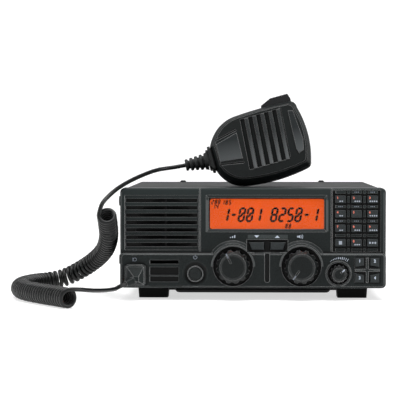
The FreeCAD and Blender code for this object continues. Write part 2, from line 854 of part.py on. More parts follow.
def round_key(x, z, radius):
    """How to draw a round key at any growth."""

    def draw(drawing, grow):
        draw_circle(drawing, x, z, radius + grow)

    return draw


def keys():
    """Keypad, arrow keys, soft keys and the power button."""
    for name, (x, z) in key_places().items():
        key_cap("key_" + name, rect_key(x, z, S.key_width, S.key_height), FACE_Y, WALL_BACK_Y, S.key_proud - 0.6)
    for name in arrow_places():
        key_cap("key_" + name, arrow_key(name), FACE_Y, WALL_BACK_Y, S.key_proud)
    for name, (side, level) in SOFT_SIDES.items():
        key_cap("key_" + name, soft_key(side, level), BAND_Y, BAND_BACK_Y, S.key_proud)
    key_cap("power_button", round_key(POWER_X, S.power_z, S.power_radius), BAND_Y, BAND_BACK_Y, 0.8)


def mat(x, z, wide, tall, y):
    """A rubber sheet with a skirt that stands on the front board."""
    skin = box(x - wide / 2, y, z - tall / 2, wide, BOARD_FRONT_Y - y, tall)
    room = box(x - wide / 2 + 1.2, y + 1.2, z - tall / 2 + 1.2, wide - 2.4, BOARD_FRONT_Y - y, tall - 2.4)
    return cut(skin, room)


def key_mats():
    """Rubber mats behind the keypad, the arrow keys, the soft keys and the power button."""
    play = 1.1 + S.key_travel + S.fit
    upper, lower = WALL_BACK_Y + play, BAND_BACK_Y + play
    arrow_x = (ARROW_LEFT_X + ARROW_RIGHT_X) / 2
    part("key_mats", group(
        mat(PAD_X, S.pad_z, S.pad_width - 1, S.pad_height - 3, upper),
        mat(arrow_x, S.arrow_z, ARROW_RIGHT_X - ARROW_LEFT_X + S.arrow_width + 1.9, 9.4, upper),
        mat(SOFT_X, S.panel_bottom + S.band_height / 2, 2 * S.soft_far + 2.6,
            S.band_height - 2 * S.panel_wall - 1, lower),
        mat(POWER_X, S.power_z, 14, 14, lower),
    ))


# Rotary controls


def knob(name, x, z, radius, face_radius, flute, mark_angle, shaft_back_y):
    """A fluted knob with a dished face, an index line and its shaft."""
    body = new_body()
    drawing = sketch(body, "XY", 0)
    front, back = KNOB_FACE_Y, BAND_Y + 1.2
    hub = S.shaft_radius + 2.5
    inner = radius - flute / 2 - 1.1
    draw_outline(drawing, [
        (0, front + 0.5), (face_radius - 1.2, front + 0.5), (face_radius - 0.4, front), (face_radius + 0.6, front),
        (radius - 1.2, front + 3.2), (radius, front + 5), (radius, back), (inner, back),
        (inner, front + 5), (hub, front + 5), (hub, back + 1), (0, back + 1),
    ])
    turned = revolve(body, drawing)
    turned.ReferenceAxis = (drawing, ["V_Axis"])
    DOC.recompute()
    scallop = sketch(body, "XZ", -front)
    draw_circle(scallop, radius + flute / 2, 0, flute)
    groove = pocket(body, scallop, S.knob_reach + 4)
    polar(body, groove, 12, "Y")
    slot_depth = 0.6
    mark = box(-0.6, front - 1, face_radius * 0.35, 1.2, 1.5 + slot_depth, radius)
    bore = rod(0, front + 3, 0, S.shaft_radius, back - front + 4)
    shaped = cut(body, mark, bore)
    shaft = rod(0, front + 3, 0, S.shaft_radius, shaft_back_y - front - 3)
    pair = group(shaped, shaft)
    pair.Placement.Rotation = Rotation(Vector(0, 1, 0), mark_angle)
    place(pair, x, 0, z)
    part(name, pair)
    return pair


def knobs():
    """The two large knobs and the small tone knob."""
    shaft_back = BOARD_FRONT_Y - 2
    knob("channel_knob", CHANNEL_X, S.knob_z, S.knob_radius, S.knob_face_radius, 3.2, -27, shaft_back)
    knob("volume_knob", VOLUME_X, S.knob_z, S.knob_radius, S.knob_face_radius, 3.2, -145.5, shaft_back)
    knob("tone_knob", TONE_X, S.tone_z, S.tone_radius, S.tone_radius - 2.2, 1.7, 48, shaft_back)


def control(x, z, wide, y_front):
    """A rotary control on the front board: housing, bushing and a bore for its shaft."""
    housing = box(x - wide / 2, BOARD_FRONT_Y - 5.5, z - wide / 2, wide, 5.5, wide)
    bushing = rod(x, y_front, z, S.shaft_radius + 0.5, BOARD_FRONT_Y - 5.5 - y_front)
    bore = rod(x, y_front - 1, z, S.shaft_radius + S.running_gap, BOARD_FRONT_Y - 0.8 - y_front)
    return cut(fuse(housing, bushing), bore)


def controls():
    """Channel encoder and the two potentiometers."""
    front = BAND_Y + 2.6
    part("channel_encoder", control(CHANNEL_X, S.knob_z, 13, front))
    part("potentiometers", group(control(VOLUME_X, S.knob_z, 11, front), control(TONE_X, S.tone_z, 11, front)))


# Boards and loudspeaker


def front_board():
    """Circuit board behind the keys, with a processor, a flat connector and a few parts."""
    left, right = SPEAKER_X + S.speaker_radius + 3, S.panel_width / 2 - 5
    low, high = S.panel_bottom + 5, PANEL_TOP - 5
    plate = box(left, BOARD_FRONT_Y, low, right - left, S.board, high - low)
    chip = box(20, BOARD_BACK_Y, 58, 14, 1.4, 14)
    ribbon = box(-34, BOARD_BACK_Y, 66, 26, 4, 6)
    memory = box(44, BOARD_BACK_Y, 60, 9, 1.4, 6)
    part("front_board", fuse(plate, chip, ribbon, memory))


def loudspeaker():
    """Basket, cone and magnet turned in one piece behind the louvres."""
    body = new_body()
    drawing = sketch(body, "XY", 0)
    front = WALL_BACK_Y + 0.1
    rim = S.speaker_radius
    draw_outline(drawing, [
        (0, front + 5), (9, front + 5.4), (rim - 3.5, front + 0.6), (rim - 2, front), (rim, front), (rim, front + 1.6),
        (rim - 2.2, front + 1.6), (17, front + 10), (17, front + 17), (0, front + 17),
    ])
    revolve(body, drawing)
    place(body, SPEAKER_X, 0, S.speaker_z)
    part("loudspeaker", body)


def main_board():
    """Board on four posts with shield cans, relays, ring cores and capacitors."""
    top = S.deck_z + S.standoff + S.board
    left, front = -MAIN_BOARD_WIDTH / 2, PANEL_BACK_Y + 14
    plate = box(left, front, S.deck_z + S.standoff, MAIN_BOARD_WIDTH, S.main_board_depth, S.board)
    pieces = [plate]
    for x, y, wide, deep, tall in ((-92, 8, 58, 70, 14), (-24, 8, 44, 44, 14), (34, 8, 30, 26, 10), (-24, 62, 44, 40, 10)):
        pieces.append(box(x, front + y, top, wide, deep, tall))
    for index in range(5):
        pieces.append(box(-92 + index * 20, front + 134, top, 15, 10, 12))
    for index in range(4):
        pieces.append(rod(42 + index * 15, front + 90, top, 5.5, 16, "z"))
    part("main_board", fuse(*pieces))


# Chassis


def chassis():
    """Cast frame: side walls, a deck between an upper and a lower bay, a rear wall and a rear rail."""
    body = new_body()
    front, half = PANEL_BACK_Y + S.fit, CHASSIS_HALF
    outline = front_sketch(body, REAR_Y)
    draw_rect(outline, -half, CHASSIS_BOTTOM, 2 * half, CHASSIS_TOP - CHASSIS_BOTTOM, S.cover_corner - 1.5)
    pad(body, outline, REAR_Y - front)
    wide, deep = 2 * half - 2 * S.cast_wall, REAR_Y - front - S.cast_wall - S.rear_wall
    upper = sketch(body, "XY", CHASSIS_TOP)
    draw_rect(upper, -half + S.cast_wall, front + S.cast_wall, wide, deep, 4)
    pocket(body, upper, CHASSIS_TOP - S.deck_z)
    lower = sketch(body, "XY", CHASSIS_BOTTOM)
    draw_rect(lower, -half + S.cast_wall, front + S.cast_wall, wide, deep, 4)
    pocket(body, lower, S.deck_z - 2.5 - CHASSIS_BOTTOM, forwards=True)
    posts, holes = [], []
    board_front = PANEL_BACK_Y + 14
    for x in (-MAIN_BOARD_WIDTH / 2 + 6, MAIN_BOARD_WIDTH / 2 - 6):
        for y in (board_front + 6, board_front + S.main_board_depth - 6):
            posts.append(rod(x, y, S.deck_z - 1, 4, S.standoff + 1, "z"))
    rail = box(4 - half, REAR_Y - 1, CHASSIS_TOP - 3, 2 * half - 8, S.rear_wall_inset, 3)
    posts.append(rail)
    for side in (-1, 1):
        for y in (-S.bracket_span / 2, S.bracket_span / 2):
            posts.append(bracket_boss(side, y))
            holes.append(rod(-half - 1 if side < 0 else half - 9, y, S.bracket_z, S.bracket_hole, 10, "x"))
    for x, z, radius in ((S.antenna_x, S.antenna_z, 7), (S.ground_x, S.antenna_z, S.ground_radius + 0.2),
                         (S.din_x, S.antenna_z, 9)):
        holes.append(rod(x, REAR_Y - 6, z, radius, 12))
    for index in range(3):
        holes.append(rod(S.jack_x + index * S.jack_pitch, REAR_Y - 6, S.antenna_z, 4, 12))
    holes.append(box(S.dc_x - S.dc_width / 2 - 0.2, REAR_Y - 6, S.antenna_z - S.dc_height / 2 - 0.2,
                     S.dc_width + 0.4, 12, S.dc_height + 0.4))
    holes.append(fan_grille())
    holes.append(box(-60, front - 1, 60, 90, S.cast_wall + 2, 26))
    holes += screw_holes(S.screw_radius + 0.05, 8)
    part("chassis", cut(fuse(body, *posts), *holes))


def bracket_boss(side, y):
    """A boss inside a side wall for a mounting bracket's screw."""
    half = CHASSIS_HALF
    start = -half + 0.5 if side < 0 else half - 8
    return rod(start, y, S.bracket_z, 6, 7.5, "x")


def fan_grille():
    """Ring slots in the rear wall in front of the fan, left whole along four spokes."""
    y, depth = REAR_Y - 6, 12
    slots = []
    for outer in (27.0, 21.5, 16.0):
        slots.append(cut(rod(S.fan_x, y, FAN_Z, outer, depth), rod(S.fan_x, y - 1, FAN_Z, outer - 3.4, depth + 2)))
    spokes = [box(S.fan_x - 30, y - 1, FAN_Z - 1.5, 60, depth + 2, 3), box(S.fan_x - 1.5, y - 1, FAN_Z - 30, 3, depth + 2, 60)]
    return cut(group(*slots), *spokes)


# Screws


def top_screws():
    """Places of the top screws, at the rear rail."""
    return [(side * 72, REAR_Y + 8) for side in (-1, 1)]


def bottom_screws():
    """Places of the bottom screws, in the side walls' feet."""
    return [(side * (CHASSIS_HALF - 4.5), y) for side in (-1, 1) for y in (-60, 60)]


def side_screws():
    """Places of the side screws as side, depth and height."""
    return [(side, y, z) for side in (-1, 1) for y in (-66, 76) for z in (S.seam_z + 8, S.seam_z - 8)]


def screw_holes(radius, length):
    """Cutting rods for all the case screws."""
    rods = [rod(x, y, COVER_TOP + 1 - length, radius, length + 1, "z") for x, y in top_screws()]
    for side, y, z in side_screws():
        start = -S.cover_width / 2 - 1 if side < 0 else S.cover_width / 2 - length
        rods.append(rod(start, y, z, radius, length + 1, "x"))
    return rods


def screw(x, y, z, axis, outward):
    """A pan-head screw whose head sits on a point and whose shank points inwards."""
    body = new_body()
    drawing = sketch(body, "XY", 0)
    head, radius = S.screw_head, S.screw_radius
    draw_outline(drawing, [(0, -5.5), (radius, -5.5), (radius, 0), (head, 0), (head, 1.0), (head - 1, 1.8), (0, 1.8)])
    revolve(body, drawing)
    direction = {"x": Vector(outward, 0, 0), "y": Vector(0, outward, 0), "z": Vector(0, 0, outward)}[axis]
    body.Placement = Placement(Vector(), Rotation(Vector(0, 1, 0), direction))
    return place(body, x, y, z)


def case_screws():
    """All case screws in one group."""
    screws = [screw(x, y, COVER_TOP, "z", 1) for x, y in top_screws()]
    screws += [screw(side * S.cover_width / 2, y, z, "x", side) for side, y, z in side_screws()]
    part("case_screws", group(*screws))


# Covers


def top_cover():
    """Folded sheet over the top and the upper sides, slotted in its sides."""
    body = new_body()
    half, length = S.cover_width / 2, COVER_BACK_Y - COVER_FRONT_Y
    outline = front_sketch(body, COVER_BACK_Y)
    draw_rect(outline, -half, S.seam_z - 12, S.cover_width, COVER_TOP - S.seam_z + 12, S.cover_corner)
    pad(body, outline, length)
    inside = front_sketch(body, COVER_BACK_Y)
    draw_rect(inside, -half + S.sheet, S.seam_z - 12 + S.sheet, S.cover_width - 2 * S.sheet,
              COVER_TOP - S.seam_z + 12 - 2 * S.sheet, S.cover_corner - S.sheet)
    pocket(body, inside, length + 1, forwards=True)
    lower = front_sketch(body, COVER_BACK_Y)
    draw_rect(lower, -half - 1, S.seam_z - 20, S.cover_width + 2, 20 + S.fit, 1)
    pocket(body, lower, length + 1, forwards=True)
    side_slots = [box(-half - 1, 40 + 7 * index, 58, S.cover_width + 2, 3, 30) for index in range(9)]
    holes = screw_holes(S.screw_radius + 0.2, 6)
    for y in (-S.bracket_span / 2, S.bracket_span / 2):
        holes.append(rod(-half - 1, y, S.bracket_z, S.bracket_hole + 0.8, S.cover_width + 2, "x"))
    part("top_cover", cut(body, *side_slots, *holes))


def bottom_cover():
    """Folded sheet under the bottom and the lower sides."""
    body = new_body()
    half, length = S.cover_width / 2, COVER_BACK_Y - COVER_FRONT_Y
    tall = S.seam_z - S.base_z
    outline = front_sketch(body, COVER_BACK_Y)
    draw_rect(outline, -half, S.base_z, S.cover_width, tall + 12, S.cover_corner)
    pad(body, outline, length)
    inside = front_sketch(body, COVER_BACK_Y)
    draw_rect(inside, -half + S.sheet, S.base_z + S.sheet, S.cover_width - 2 * S.sheet, tall + 12 - 2 * S.sheet,
              S.cover_corner - S.sheet)
    pocket(body, inside, length + 1, forwards=True)
    upper = front_sketch(body, COVER_BACK_Y)
    draw_rect(upper, -half - 1, S.seam_z - S.fit, S.cover_width + 2, 20, 1)
    pocket(body, upper, length + 1, forwards=True)
    slot = sketch(body, "XY", S.base_z)
    draw_rect(slot, -40, -30, 2.6, 50, 1.2)
    vent = pocket(body, slot, S.sheet + 1, forwards=True)
    row(body, vent, "X", 12, 80)
    part("bottom_cover", cut(body, *screw_holes(S.screw_radius + 0.2, 6)))


# Feet and stand


def foot(side):
    """A tapered foot with a bore for the stand's pin in its inner face."""
    body = new_body()
    base = sketch(body, "XY", S.base_z)
    draw_rect(base, side * S.foot_x - S.foot_width / 2, FOOT_FRONT_Y, S.foot_width, S.foot_depth, 3)
    block = pad(body, base, S.base_z, backwards=True)
    block.TaperAngle = -4
    stand_y = FOOT_FRONT_Y + S.foot_depth - 6
    inner = side * (S.foot_x - S.foot_width / 2)
    start = inner - 2 if side > 0 else inner - 8
    return cut(body, rod(start, stand_y, S.stand_z, S.stand_radius + S.running_gap, 10, "x"))


def feet():
    """Two front feet, and the rubber feet at the rear and buffers on the left side."""
    part("front_feet", group(foot(-1), foot(1)))
    rubber = []
    for x in (-S.foot_x, S.foot_x):
        disc = cone(x, S.rear_foot_y, 0, S.rear_foot_radius - 1.5, S.rear_foot_radius, S.base_z, "z")
        rubber.append(disc)
    for y in (FACE_Y + 32, S.rear_foot_y - 6):
        for z in (89, 34.9):
            button = cone(-S.cover_width / 2 - S.buffer_height, y, z, S.buffer_radius - 0.9, S.buffer_radius, S.buffer_height, "x")
            rubber.append(button)
    part("rubber_feet", group(*rubber))


def tilt_stand():
    """Bent wire stand, folded forwards under the case, its pins in the front feet."""
    pin_y, z = float(FOOT_FRONT_Y + S.foot_depth - 6), float(S.stand_z)
    bar_y = pin_y - float(S.stand_reach)
    pin_x = float(S.foot_x - S.foot_width / 2) + 5
    half = float(S.stand_half)
    points = [Vector(-pin_x, pin_y, z), Vector(-half - 1, pin_y, z), Vector(-half + 2, bar_y, z),
              Vector(half - 2, bar_y, z), Vector(half + 1, pin_y, z), Vector(pin_x, pin_y, z)]
    part("tilt_stand", raw(bent_wire(points, float(S.stand_radius), 3.2)))


def bent_wire(points, radius, bend):
    """A wire with the same bend radius at every corner."""
    edges, start = [], points[0]
    for before, corner, after in zip(points, points[1:], points[2:]):
        back, onward = before - corner, after - corner
        half = (math.pi - back.getAngle(onward)) / 2
        trim = bend * math.tan(half)
        back.normalize()
        onward.normalize()
        middle = back + onward
        middle.normalize()
        reach = bend / math.cos(half) - bend
        edges.append(Part.LineSegment(start, corner + back * trim).toShape())
        edges.append(Part.Arc(corner + back * trim, corner + middle * reach, corner + onward * trim).toShape())
        start = corner + onward * trim
    edges.append(Part.LineSegment(start, points[-1]).toShape())
    section = Part.Wire([Part.Circle(points[0], points[1] - points[0], radius).toShape()])
    return Part.Wire(edges).makePipeShell([section], True, False)


# Rear


def heat_sink():
    """Finned block on the rear wall under the cover's lip."""
    body = new_body()
    left, low, y = -S.sink_width + 32, CHASSIS_TOP - 4 - S.sink_height, REAR_Y + S.fit
    base = front_sketch(body, y)
    draw_rect(base, left, low, S.sink_width, S.sink_height, 1)
    pad(body, base, 3, backwards=True)
    DOC.recompute()
    fin = front_sketch(body, y + 2.5)
    draw_rect(fin, left, low, S.fin, S.sink_height, 0.4)
    blade = pad(body, fin, 11.5, backwards=True)
    count = int(float(S.sink_width) // float(S.fin_pitch)) + 1
    row(body, blade, "X", count, (count - 1) * S.fin_pitch)
    part("heat_sink", body)


def fan():
    """Square fan frame with a motor post on four arms, and its rotor."""
    y, half = REAR_Y - S.rear_wall - S.fan_depth - 0.1, S.fan_size / 2
    block = box(S.fan_x - half, y, FAN_Z - half, S.fan_size, S.fan_depth, S.fan_size)
    bore = rod(S.fan_x, y - 1, FAN_Z, S.fan_bore, S.fan_depth + 2)
    arms = [box(S.fan_x - half + 1, y + 0.01, FAN_Z - 1.2, S.fan_size - 2, 2.4, 2.4),
            box(S.fan_x - 1.2, y + 0.01, FAN_Z - half + 1, 2.4, 2.4, S.fan_size - 2)]
    post = [rod(S.fan_x, y + 0.01, FAN_Z, 11, 3.4), rod(S.fan_x, y + 3, FAN_Z, 1.5, 11)]
    part("fan_frame", fuse(cut(block, bore), *arms, *post))
    body = new_body()
    hub = front_sketch(body, y + 16)
    draw_circle(hub, 0, 0, 12)
    pad(body, hub, 11)
    DOC.recompute()
    blade = raw(fan_blade(float(y) + 6.0, float(S.fan_bore) - 1.2))
    blades = []
    for index in range(7):
        copy = raw(blade.Shape.copy())
        copy.Placement = Placement(Vector(), Rotation(Vector(0, 1, 0), 360 / 7 * index))
        blades.append(copy)
    rotor = cut(fuse(body, *blades), rod(0, y + 1, 0, 1.5 + S.running_gap, 13.5))
    place(rotor, S.fan_x, 0, FAN_Z)
    part("fan_rotor", rotor)
    DOC.removeObject(blade.Name)


def fan_blade(y, reach):
    """One swept blade, lofted from the hub out as it turns flatter."""
    sections = []
    for radius, chord, pitch in ((10.5, 10, 42), (18, 12, 32), (reach, 13, 24)):
        angle = math.radians(pitch)
        half = Vector(math.cos(angle) * chord / 2, math.sin(angle) * chord / 2, 0)
        side = Vector(-math.sin(angle), math.cos(angle), 0) * 0.6
        centre = Vector(0, y + 4.5, radius)
        corners = [centre - half - side, centre + half - side, centre + half + side, centre - half + side]
        sections.append(Part.makePolygon(corners + corners[:1]))
    return Part.makeLoft(sections, True, False)


def rear_sockets():
    """Antenna socket, ground stud, power socket, control socket and jacks on the rear wall."""
    y, z = REAR_Y, S.antenna_z
    tip = COVER_BACK_Y + S.socket_reach
    flange = box(S.antenna_x - 12.7, y, z - 12.7, 25.4, 2.4, 25.4)
    barrel = rod(S.antenna_x, y, z, S.antenna_radius, tip - y)
    hollow = rod(S.antenna_x, tip - 12, z, S.antenna_bore, 13)
    pin = rod(S.antenna_x, tip - 13, z, 2.9, 11)
    throat = rod(S.antenna_x, tip - 12, z, 2.0, 13)
    stem = rod(S.antenna_x, y - 12, z, 5.5, 12.5)
    part("antenna_socket", cut(fuse(cut(fuse(flange, barrel, stem), hollow), pin), throat))
    stud = fuse(rod(S.ground_x, y - 9, z, S.ground_radius, 23), rod(S.ground_x, y, z, 5.5, 1.2),
                rod(S.ground_x, y - S.rear_wall - 3, z, 4.6, 3))
    part("ground_terminal", stud)
    wide, tall = S.dc_width, S.dc_height
    shell = fuse(box(S.dc_x - wide / 2, y - 14, z - tall / 2, wide, 22, tall),
                 box(S.dc_x - wide / 2 - 2, y, z - tall / 2 - 2, wide + 4, 1.5, tall + 4))
    room = box(S.dc_x - wide / 2 + 1.5, y - 6, z - tall / 2 + 1.5, wide - 3, 15, tall - 3)
    blades = [rod(S.dc_x + side * 5, y - 7, z, 1.2, 11) for side in (-1, 1)]
    part("power_socket", fuse(cut(shell, room), *blades))
    din = cut(fuse(rod(S.din_x, y - 8, z, 8.8, 13), rod(S.din_x, y, z, 10.5, 1.5)), rod(S.din_x, y - 4, z, S.din_bore, 12))
    jacks = [din]
    for index in range(3):
        x = S.jack_x + index * S.jack_pitch
        jacks.append(cut(fuse(rod(x, y - 10, z, 3.8, 13), rod(x, y, z, 5.6, 1.5)), rod(x, y - 9, z, S.jack_bore, 13)))
    part("accessory_sockets", group(*jacks))


# Microphone plug and jack


def mic_connection():
    """Jack behind the panel, and the moulded plug in it."""
    x, z = PLUG_X, S.plug_z
    body = box(x - 8, BAND_BACK_Y, z - 7.5, 16, 16, 15)
    socket = box(x - 6, BAND_BACK_Y - 1, z - 5, 12, 13, 10)
    part("mic_jack", cut(body, socket))
    plug = new_body()
    outline = front_sketch(plug, BAND_Y - 0.1)
    draw_rect(outline, x - S.plug_width / 2, z - S.plug_height / 2, S.plug_width, S.plug_height, 4)
    pad(plug, outline, S.plug_reach / 2)
    soften(plug, "Chamfer", 1.2, at_y(BAND_Y - 0.1 - S.plug_reach / 2))
    foot_wide, foot_tall, peak = S.plug_width - 3.4, S.plug_height - 3.4, 4.8
    prow = DOC.addObject("Part::Wedge", "prow")
    bind(prow, Xmin=x + 1.2 - peak / 2, Xmax=x + 1.2 + peak / 2, Zmin=z - 2.8 - peak / 2, Zmax=z - 2.8 + peak / 2,
         X2min=x - foot_wide / 2, X2max=x + foot_wide / 2, Z2min=z - foot_tall / 2, Z2max=z + foot_tall / 2,
         Ymin=BAND_Y - 0.1 - S.plug_reach, Ymax=BAND_Y - S.plug_reach / 2 + 0.3)
    tongue = box(x - 5.8, BAND_Y - 0.2, z - 4.8, 11.6, 14.5, 9.6)
    start, along = plug_exit()
    sleeve = raw(Part.makeCone(float(S.wire) * 0.95, float(S.wire) * 0.72, 9, start - along * 9, along))
    part("mic_plug", fuse(plug, prow, tongue, sleeve))


def plug_exit():
    """Tip of the plug's sleeve and the way that the cord leaves it."""
    along = Vector(-0.80, -0.50, -0.33)
    along.normalize()
    front_y = float(BAND_Y) - float(S.plug_reach)
    root = Vector(float(PLUG_X) - 1.0, front_y + 3.2, float(S.plug_z) - 4.0)
    return root + along * 9, along


# Hand microphone


def mic_placement():
    """Where the microphone leans on the top cover: tilted along its length and leaned back."""
    tilt = Rotation(Vector(0, 1, 0), -float(S.mic_tilt))
    lean = Rotation(Vector(1, 0, 0), -float(S.mic_lean))
    turn = lean.multiply(tilt)
    return Placement(Vector(float(S.mic_x), float(S.mic_y), mic_height(turn)), turn)


def mic_height(turn):
    """Height of the microphone's origin that lets its lowest point rest on the top cover."""
    shape = mic_solid(0, 1.0).copy()
    shape.Placement = Placement(Vector(), turn)
    return float(COVER_TOP) + 0.25 - shape.optimalBoundingBox(False).ZMin


def mic_outline(y, inset):
    """The microphone's outline, drawn in by an inset, as one closed wire at a depth."""
    long, wide = float(S.mic_half_length), float(S.mic_half_width)
    u, v = (long - inset) / long, (wide - inset) / wide

    def spot(x, z):
        return Vector(x * long * u, y, z * wide * v)

    exit_top, exit_low = spot(-1.0, 0.19), spot(-0.96, -0.42)
    top_left, top_right = spot(-0.42, 0.865), spot(0.745, 0.99)
    right_top, right_low = spot(0.855, 0.80), spot(0.915, -0.68)
    low_right, low_left = spot(0.82, -0.82), spot(-0.42, -0.975)
    return Part.Wire([
        Part.Arc(exit_top, spot(-0.77, 0.65), top_left).toShape(),
        Part.Arc(top_left, spot(0.14, 0.955), top_right).toShape(),
        Part.Arc(top_right, spot(0.82, 0.93), right_top).toShape(),
        Part.Arc(right_top, spot(0.968, 0.02), right_low).toShape(),
        Part.Arc(right_low, spot(0.886, -0.775), low_right).toShape(),
        Part.Arc(low_right, spot(0.25, -0.965), low_left).toShape(),
        Part.Arc(low_left, spot(-0.76, -0.80), exit_low).toShape(),
        Part.LineSegment(exit_low, exit_top).toShape(),
    ])


def mic_half(side, inset):
    """One half of the microphone between its seam and its face (-1) or its back (1), all drawn in by an inset."""
    if side < 0:
        depth, steps = float(S.mic_front_depth), ((0, 0), (0.55, 0.9), (1, float(S.mic_face_inset)))
    else:
        depth, steps = float(S.mic_back_depth), ((0, 0), (0.6, 1.2), (1, float(S.mic_back_inset)))
    depth = depth - inset
    wires = [mic_outline(side * depth * share, inset + draw) for share, draw in steps]
    return Part.makeLoft(wires, True, True)


def mic_solid(inset, scale):
    """Both halves joined."""
    return mic_half(-1, inset).fuse(mic_half(1, inset))


def mic_piece(name, shape):
    """Place a microphone piece and name it."""
    thing = raw(shape)
    thing.Placement = mic_placement()
    return part(name, thing)


def rib_prism(start, wide, low, high, levels):
    """A prism that runs up the face, from its section: places across it and their heights over the face."""
    depth = float(S.mic_front_depth)
    spots = [Vector(start + share * wide, -depth - level, low) for share, level in levels]
    return Part.Face(Part.makePolygon(spots + spots[:1])).extrude(Vector(0, 0, high - low))


def mic_ribs():
    """Five ribs across the face with rounded tops, and the sloping grooves beside them."""
    pitch, wide = float(S.mic_rib_pitch), float(S.mic_groove)
    ribs, grooves = [], []
    for index in range(6):
        left = -15.0 + index * pitch
        low, high = -23.2 + 0.7 * index, 25.2 + 0.7 * index
        if index < 5:
            grooves.append(rib_prism(left, wide, low, high, ((0, 1), (1, 1), (1, -0.7), (0, -2.0))))
            section = ((0, -1), (0, 0.4), (0.25, 1.0), (0.6, 1.0), (1, 0.2), (1, -1))
            ribs.append(rib_prism(left + wide, pitch - wide, low, high, section))
        else:
            grooves.append(rib_prism(left - 0.2, 1.0, low + 1, high, ((0, 1), (1, 1), (1, -1.2), (0, -1.2))))
    return ribs, grooves


def face_groove(start, end, wide):
    """A straight groove on the face between two points along and across it."""
    depth = float(S.mic_front_depth)
    a, b = Vector(start[0], 0, start[1]), Vector(end[0], 0, end[1])
    side = (b - a).cross(Vector(0, 1, 0))
    side.normalize()
    side = side * (wide / 2)
    spots = [point + Vector(0, 1.3 - depth, 0) for point in (a + side, b + side, b - side, a - side)]
    return Part.Face(Part.makePolygon(spots + spots[:1])).extrude(Vector(0, -4, 0))


def rim_groove():
    """The groove that runs round the face, just outside its edge."""
    depth, inset = float(S.mic_front_depth), float(S.mic_face_inset)
    outer, inner = Part.Face(mic_outline(-depth - 1, inset - 0.9)), Part.Face(mic_outline(-depth - 1, inset + 0.2))
    return outer.cut(inner).extrude(Vector(0, 2.6, 0))


def face_plate(corners, proud):
    """A flat raised plate on the microphone's face, from corners given along and across it."""
    depth = float(S.mic_front_depth)
    spots = [Vector(u, -depth - proud, v) for u, v in corners]
    return Part.Face(Part.makePolygon(spots + spots[:1])).extrude(Vector(0, proud + 0.6, 0))


def microphone():
    """Front and back shells, the ribs, the inner pieces, the push-to-talk bar and the strain relief."""
    wall = float(S.mic_wall)
    front_depth, back_depth = float(S.mic_front_depth), float(S.mic_back_depth)
    front = mic_half(-1, 0).cut(mic_half(-1, wall))
    lip = mic_half(-1, wall).common(Part.makeBox(200, 1.0, 200, Vector(-100, -1.0, -100)))
    front = front.cut(lip)
    ribs, grooves = mic_ribs()
    grooves += [face_groove((-42.0, 9.4), (-20.6, 16.0), 1.2), face_groove((-41.0, -13.6), (-19.0, -15.4), 1.2)]
    front = front.cut(Part.makeCompound(grooves)).cut(rim_groove())
    front = front.multiFuse(ribs)
    front = front.fuse(face_plate([(-41.2, 6.0), (-20.6, 13.2), (-19.4, -11.6), (-40.6, -10.9)], 0.7))
    right = [(30.4, 24.6), (35.0, 24.0), (39.2, -4.5), (37.8, -14.6), (33.0, -16.6), (31.4, -12.0)]
    front = front.fuse(face_plate(right, 0.7))
    slot = Part.makeBox(30, 9.2, 16, Vector(6.6, -5.2, 24))
    front = front.cut(slot)
    back = mic_half(1, 0).cut(mic_half(1, wall)).cut(slot)
    exit_v = float(S.mic_exit_v)
    collar = Part.makeCylinder(5.0, 12, Vector(-52, 0, exit_v), Vector(1, 0, 0))
    front, back = front.cut(collar), back.cut(collar)
    inside, inner_y = mic_half(-1, 0.1), wall - front_depth - 0.4
    for u, v in MIC_SEATS:
        foot = Vector(u, inner_y, v)
        seat = Part.makeCylinder(2.0, MIC_BOARD_Y - float(S.fit) - inner_y, foot, Vector(0, 1, 0))
        front = front.fuse(seat.common(inside))
    for u, v in MIC_SCREWS:
        boss = Part.makeCylinder(3.0, -0.3 - inner_y, Vector(u, inner_y, v), Vector(0, 1, 0))
        thread = Part.makeCylinder(1.1, 9, Vector(u, -8, v), Vector(0, 1, 0))
        front = front.fuse(boss.common(inside)).cut(thread)
        post = Part.makeCylinder(3.0, back_depth - 2, Vector(u, 0.2, v), Vector(0, 1, 0))
        hole = Part.makeCylinder(1.1, back_depth + 2, Vector(u, -0.5, v), Vector(0, 1, 0))
        sink = Part.makeCylinder(2.4, 4, Vector(u, back_depth - 3, v), Vector(0, 1, 0))
        back = back.fuse(post.common(mic_half(1, 0.1))).cut(hole).cut(sink)
    mic_piece("mic_front_shell", front)
    mic_piece("mic_back_shell", back)
    mic_inside(back_depth)
    push_to_talk()
    mic_relief()


MIC_SCREWS = ((-30, 12), (-30, -20), (34, 18), (34, -20))
MIC_SEATS = ((-20, -20), (24, -20), (-18, 12))
MIC_BOARD_Y = -6.0


